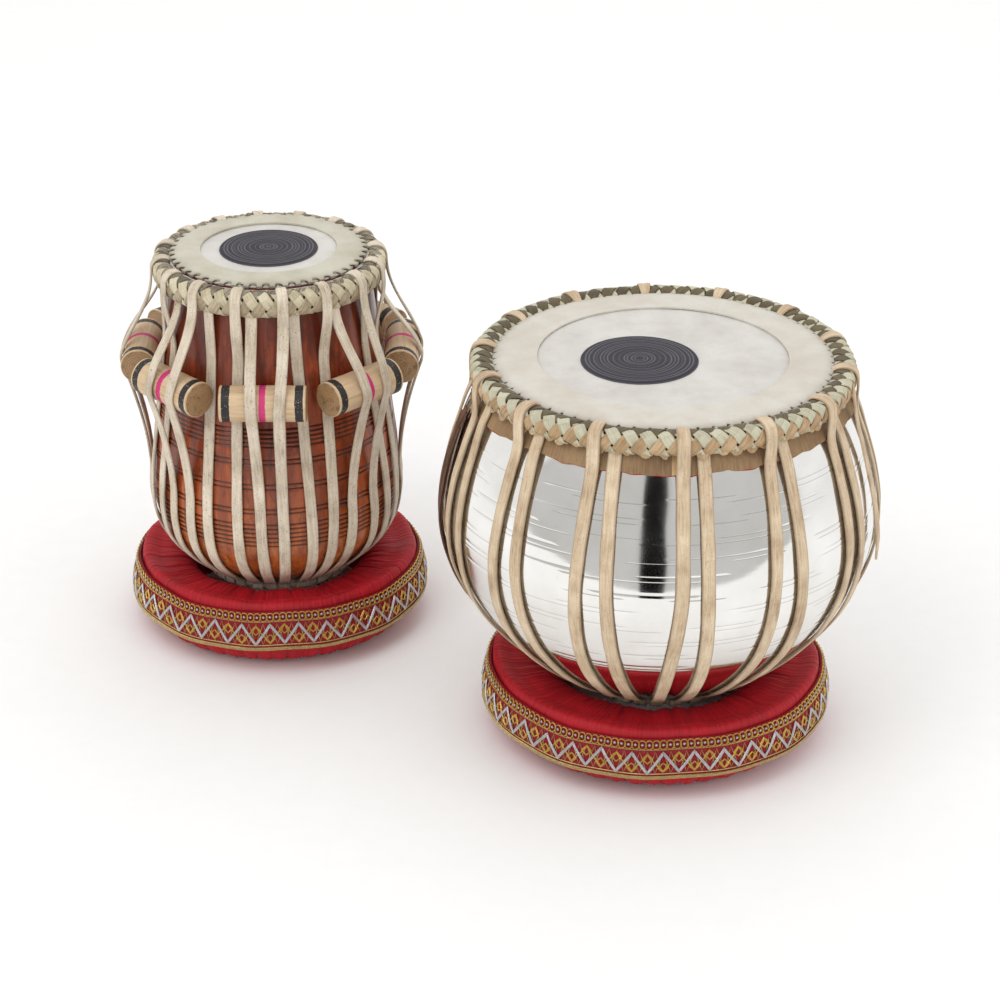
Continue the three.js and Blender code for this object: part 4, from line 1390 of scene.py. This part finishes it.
def held(drum, ribbon, radii, heights, turn):
    """The cloth kept off the floor, inside the ribbon that binds it, below the drum and clear of its base."""
    heights = np.maximum(heights, 0.3 * MM)
    at_ribbon = np.clip(heights, ribbon.low, ribbon.high).ravel()
    bound = ribbon.off(at_ribbon, -1.1 * MM)[:, 0].reshape(heights.shape)
    beyond = np.maximum(heights - ribbon.high, 0) + np.maximum(ribbon.low - heights, 0)
    bound = bound + 5.5 * MM * (1 - np.exp(-beyond / (3 * MM)))
    outer_half = (turn < math.pi / 2) | (turn > 1.5 * math.pi)
    radii = np.where(outer_half[None, :], np.minimum(radii, bound), radii)
    under = drum.outside.off(drum.outside.points[:, 1], DRUM_CLEAR)
    rising = under[:int(np.argmax(under[:, 0]))]
    ceiling = np.interp(radii, rising[:, 0], rising[:, 1])
    ceiling = np.where(radii > rising[0, 0], ceiling, 1.0)
    heights = np.where(heights > 20 * MM, np.minimum(heights, ceiling), heights)
    base_radius, _, base_half = base_sizes(drum)
    return np.maximum(radii, base_radius + base_half + 3 * STRAP_HALF_THICKNESS), heights


def add_cushion(drum, seed):
    name = drum.name
    node = f"{name}_cushion"
    low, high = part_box(node)
    ribbon = Outline(rings_of(f"{name}_cushion_ribbon", drum.axis, 1))
    outer = (high.x - low.x) / 2
    hole = min(radius for radius, _ in rings_of(node, drum.axis, -1))
    middle = np.array([(outer + hole) / 2, high.z * 0.5])
    turn = np.arange(SECTION_STEPS) * TURN / SECTION_STEPS
    azimuths = np.arange(RING_STEPS) * 360 / RING_STEPS
    brim = math.atan2(ribbon.high - middle[1], ribbon.radius(ribbon.high) - middle[0]) + math.radians(11)

    fine = cast_section(drum, node, middle, turn)
    # shade is painted shade in the creases, for the cloth's colour.
    fine, shade = sewn(fine, azimuths, turn, random.Random(seed), brim)
    radii = middle[0] + fine * np.cos(turn)
    heights = middle[1] + fine * np.sin(turn)
    radii, heights = held(drum, ribbon, radii, heights, turn)

    points = drum.round(azimuths[:, None], radii, heights)
    lay = np.stack(np.broadcast_arrays(np.radians(azimuths)[:, None] * outer, fine * turn, 0.0), axis=-1)
    pile = Pile()
    pile.grid(points, wrap_rows=True, wrap_columns=True, lay=lay, shade=shade)
    piece = add_piece(pile, f"{name}_stuffed_ring", "cushions", "red_cloth", [RED_CLOTH], [node],
                      smooth_angle=180)


# ---------------------------------------------------------------- ribbons

ZIGZAG_PITCH = 21.0 * MM
CHAIN_PITCH = 4.8 * MM


class Ribbon:
    """The ribbon's face, measured by azimuth and height, with a little hand-sewn unevenness."""

    def __init__(self, drum):
        self.drum = drum
        self.face = Outline(rings_of(f"{drum.name}_cushion_ribbon", drum.axis, 1))
        self.low = self.face.low
        self.high = self.face.high
        self.girth = TURN * self.face.radius((self.low + self.high) / 2)

    def spots(self, azimuths, heights, lift):
        """Points lifted off the ribbon's face, and where the face looks there."""
        azimuths, heights = np.broadcast_arrays(azimuths, heights)
        sag = 0.7 * MM * np.sin(np.radians(azimuths * 5) + 1.0) + 0.4 * MM * np.sin(np.radians(azimuths * 13))
        at = self.face.off(np.clip(heights, self.low, self.high).ravel(), 0).reshape(*heights.shape, 2)
        outward = np.interp(heights, self.face.points[:, 1], self.face.normals[:, 0])
        upward = np.interp(heights, self.face.points[:, 1], self.face.normals[:, 1])
        points = self.drum.round(azimuths, at[..., 0] + outward * lift, at[..., 1] + upward * lift + sag)
        return points, self.drum.ways(azimuths, outward, upward)


def add_ribbon_band(ribbon):
    """The ribbon itself, a thin band round the cushion's side."""
    name = ribbon.drum.name
    azimuths = np.arange(540) * 360 / 540
    heights = np.linspace(ribbon.low, ribbon.high, 16)
    outer_face, ways = ribbon.spots(azimuths[:, None], heights[None, :], -0.1 * MM)
    inner_face = outer_face - ways * 0.9 * MM
    along = np.radians(azimuths)[:, None] * ribbon.girth / TURN
    lay = np.stack(np.broadcast_arrays(heights[None, :], along, 0.0), axis=-1)
    pile = Pile()
    both = np.concatenate([outer_face, inner_face[:, ::-1]], axis=1)
    pile.grid(both, wrap_rows=True, wrap_columns=True, lay=np.concatenate([lay, lay[:, ::-1]], axis=1))
    add_piece(pile, f"{name}_ribbon_band", "cushions", "ribbon", [RIBBON_GROUND], [f"{name}_cushion_ribbon"],
              smooth_angle=60)


def zigzag(share):
    """A triangle wave from -1 to 1."""
    return 4 * np.abs((share % 1) - 0.5) - 1


def add_ribbon_thread(ribbon, pile, azimuths, heights, lift, radius, twist=0, seed=0.0, closed=True):
    """A thread sewn on the ribbon; with a twist, two strands wound on each other that many times."""
    strands = 2 if twist else 1
    for strand in range(strands):
        points, ways = ribbon.spots(azimuths, heights, lift)
        if twist:
            spin = np.arange(len(azimuths)) * TURN * twist / len(azimuths) + strand * math.pi
            along = unit(np.roll(points, -1, axis=0) - np.roll(points, 1, axis=0))
            sideways = np.cross(along, ways)
            wound = ways * np.sin(spin)[:, None] + sideways * np.cos(spin)[:, None]
            points = points + radius * 0.75 * wound
        pile.strand(points, ways, radius, radius * 0.8, ROUGH_ROUND, closed=closed, seed=seed + strand)


def add_ribbon_trim(drum):
    """Gold chain with silver beads above, a silver zigzag among gold diamonds, and a gold edge below."""
    ribbon = Ribbon(drum)
    add_ribbon_band(ribbon)
    name = drum.name
    tall = ribbon.high - ribbon.low

    def level(share):
        return ribbon.low + tall * share

    count = int(round(ribbon.girth / ZIGZAG_PITCH))
    azimuths = np.arange(count * 20) * 360 / (count * 20)
    share = azimuths * count / 360
    centre, swing = level(0.46), tall * 0.235
    wobble = 0.35 * MM * np.sin(np.radians(azimuths * 11)) + 0.25 * MM * np.sin(np.radians(azimuths * 29))

    silver = Pile()
    for beside in (-0.75 * MM, 0.75 * MM):
        height = centre + beside + swing * zigzag(share) + wobble
        add_ribbon_thread(ribbon, silver, azimuths, height, 1.0 * MM, 0.40 * MM, twist=count * 9)
    add_piece(silver, f"{name}_ribbon_silver_zigzag", "cushions", "ribbon", [SILVER])

    gold = Pile()
    add_ribbon_thread(ribbon, gold, azimuths, centre + 0.86 * swing * zigzag(share + 0.5) + wobble, 0.6 * MM,
                      0.36 * MM, twist=count * 7)
    small = tall * 0.115
    wide = 0.17
    for number, (phase, offset) in enumerate(((0.5, 0.5), (0.0, -0.5))):
        for flip in (1, -1):
            for cell in range(count):
                spread = np.linspace(-wide, wide, 11)
                spots = (cell + phase + spread) * 360 / count
                rise = flip * small * (1 - np.abs(spread) / wide) + offset * swing
                height = centre + rise + np.interp(spots, azimuths, wobble)
                add_ribbon_thread(ribbon, gold, spots, height, 0.6 * MM, 0.42 * MM, seed=cell * 0.37 + number,
                                  closed=False)
    add_piece(gold, f"{name}_ribbon_gold_diamonds", "cushions", "ribbon", [GOLD])

    fine = Pile()
    for phase in (0.0, 0.5):
        height = centre + 1.12 * swing * zigzag(share * 2 + phase)
        add_ribbon_thread(ribbon, fine, azimuths, height, 0.25 * MM, 0.22 * MM)
    for edge in (0.17, 0.765):
        around = np.arange(900) * 360 / 900
        add_ribbon_thread(ribbon, fine, around, np.full(900, level(edge)), 0.25 * MM, 0.28 * MM, twist=300)
    add_piece(fine, f"{name}_ribbon_fine_thread", "cushions", "ribbon", [OLD_GOLD])

    links = int(round(ribbon.girth / CHAIN_PITCH))
    chain = Pile()
    beads = Pile()
    loop = np.arange(18) * TURN / 18
    height = level(0.875)
    for link in range(links):
        middle = link * 360 / links
        wide = 0.58 * 360 / links
        spots = middle + wide * np.cos(loop)
        heights = height + tall * 0.095 * np.sin(loop)
        add_ribbon_thread(ribbon, chain, spots, heights, (0.8 + 0.45 * np.cos(loop)) * MM, 0.42 * MM,
                          seed=link * 0.61)
        low_turn = np.linspace(-math.pi / 2, math.pi / 2, 7)
        around = np.arange(10)[:, None] * TURN / 10
        centre_point, way = ribbon.spots(np.array([middle]), np.array([height]), 1.1 * MM)
        size = 1.15 * MM
        side = np.cross(way[0], (0, 0, 1))
        ball = (centre_point[0] + size * np.cos(low_turn)[None, :, None] * (
            np.cos(around)[..., None] * side + np.sin(around)[..., None] * np.array((0, 0, 1.0)))
            + 0.8 * size * np.sin(low_turn)[None, :, None] * way[0])
        beads.grid(ball, wrap_rows=True)
    add_piece(chain, f"{name}_ribbon_gold_chain", "cushions", "ribbon", [GOLD])
    add_piece(beads, f"{name}_ribbon_beads", "cushions", "ribbon", [BEAD], weld=True)

    edge = Pile()
    around = np.arange(1500) * 360 / 1500
    plaits = int(round(ribbon.girth / (4.2 * MM)))
    for strand in range(3):
        phase = np.radians(around * plaits + strand * 120)
        heights = level(0.07) + 1.0 * MM * np.sin(phase)
        lift = 0.6 * MM + 0.4 * MM * np.sin(2 * phase)
        add_ribbon_thread(ribbon, edge, around, heights, lift, 0.48 * MM, seed=strand * 2.0)
    add_piece(edge, f"{name}_ribbon_gold_edge", "cushions", "ribbon", [OLD_GOLD])


# ---------------------------------------------------------------- studio

WORLD_COLOUR = (1.0, 0.995, 0.985, 1)
WORLD_STRENGTH = 0.96
LIGHTS = (                          # name, place, target, size in metres, power in watts
    ("key", (-0.9, -1.1, 1.9), (0, 0, 0.15), (1.2, 1.2), 9),
    ("fill", (1.5, -0.9, 1.3), (0, 0, 0.15), (1.2, 1.2), 2.5),
    ("back", (0.2, 1.6, 1.7), (0, 0, 0.2), (1.6, 0.8), 3),
)
CARDS = (                           # name, low and high corner seen from the front, place in y, brightness
    ("grey_card", (-2.5, 0.0), (2.5, 0.75), -0.72, 0.62),
    ("black_card", (0.004, 0.0), (0.120, 0.70), -0.66, 0.0),
)
FLOOR_REACH = 8.0
FLOOR_DROP = 0.3 * MM


def add_area_light(name, place, target, size, power):
    light = bpy.data.lights.new(name, "AREA")
    light.shape = "RECTANGLE"
    light.size, light.size_y = size
    light.energy = power
    made = bpy.data.objects.new(name, light)
    made.location = place
    made.rotation_euler = (Vector(target) - Vector(place)).to_track_quat("-Z", "Y").to_euler()
    bpy.context.scene.collection.objects.link(made)


def add_card(name, low, high, y, brightness):
    """An upright card in front of the drums, seen only in their reflections."""
    pile = Pile()
    pile.grid(np.array([[[x, y, z] for x in (low[0], high[0])] for z in (low[1], high[1])]))
    card = pile.build(name, card_finish(name, brightness))
    for ray in ("camera", "diffuse", "transmission", "volume_scatter", "shadow"):
        setattr(card, f"visible_{ray}", False)


def add_studio():
    steps = np.linspace(-FLOOR_REACH, FLOOR_REACH, 9)
    floor = Pile()
    floor.grid(np.stack(np.broadcast_arrays(steps[None, :], steps[:, None], -FLOOR_DROP), axis=-1))
    paper = floor.build("studio_floor", paper_finish())

    world = bpy.data.worlds.new("studio")
    bpy.context.scene.world = world
    world.use_nodes = True
    world.node_tree.nodes["Background"].inputs["Color"].default_value = WORLD_COLOUR
    world.node_tree.nodes["Background"].inputs["Strength"].default_value = WORLD_STRENGTH
    bpy.context.scene.view_settings.view_transform = "Standard"

    for light in LIGHTS:
        add_area_light(*light)
    for card in CARDS:
        add_card(*card)


# ---------------------------------------------------------------- the whole pair

def finish_hidden_skins():
    """The rings of skin under the playing skins stay as the frame has them."""
    for drum in DRUMS:
        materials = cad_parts[f"{drum.name}_under_ring_skin"].data.materials
        materials.clear()
        materials.append(SKIN)


add_wooden_shell()
add_metal_shell()
for drum, upper_skin in ((dayan, RIM_SKIN), (bayan, BAYAN_RIM_SKIN)):
    add_playing_skin(drum)
    add_rim_skin(drum, upper_skin)
    add_patch(drum)
    add_base_ring(drum)
add_braid(dayan, PALE_STRIP, DARK_STRIP, WORN_STRIP)
add_braid(bayan, GREEN_STRIP, OLIVE_STRIP, TAN_STRIP)
add_collar()
add_dayan_thongs()
add_bayan_thongs()
add_spare_thong()
add_loose_end()
add_dowels()
for number, drum in enumerate(DRUMS):
    add_cushion(drum, seed=31 + number)
    add_ribbon_trim(drum)
finish_hidden_skins()
add_studio()
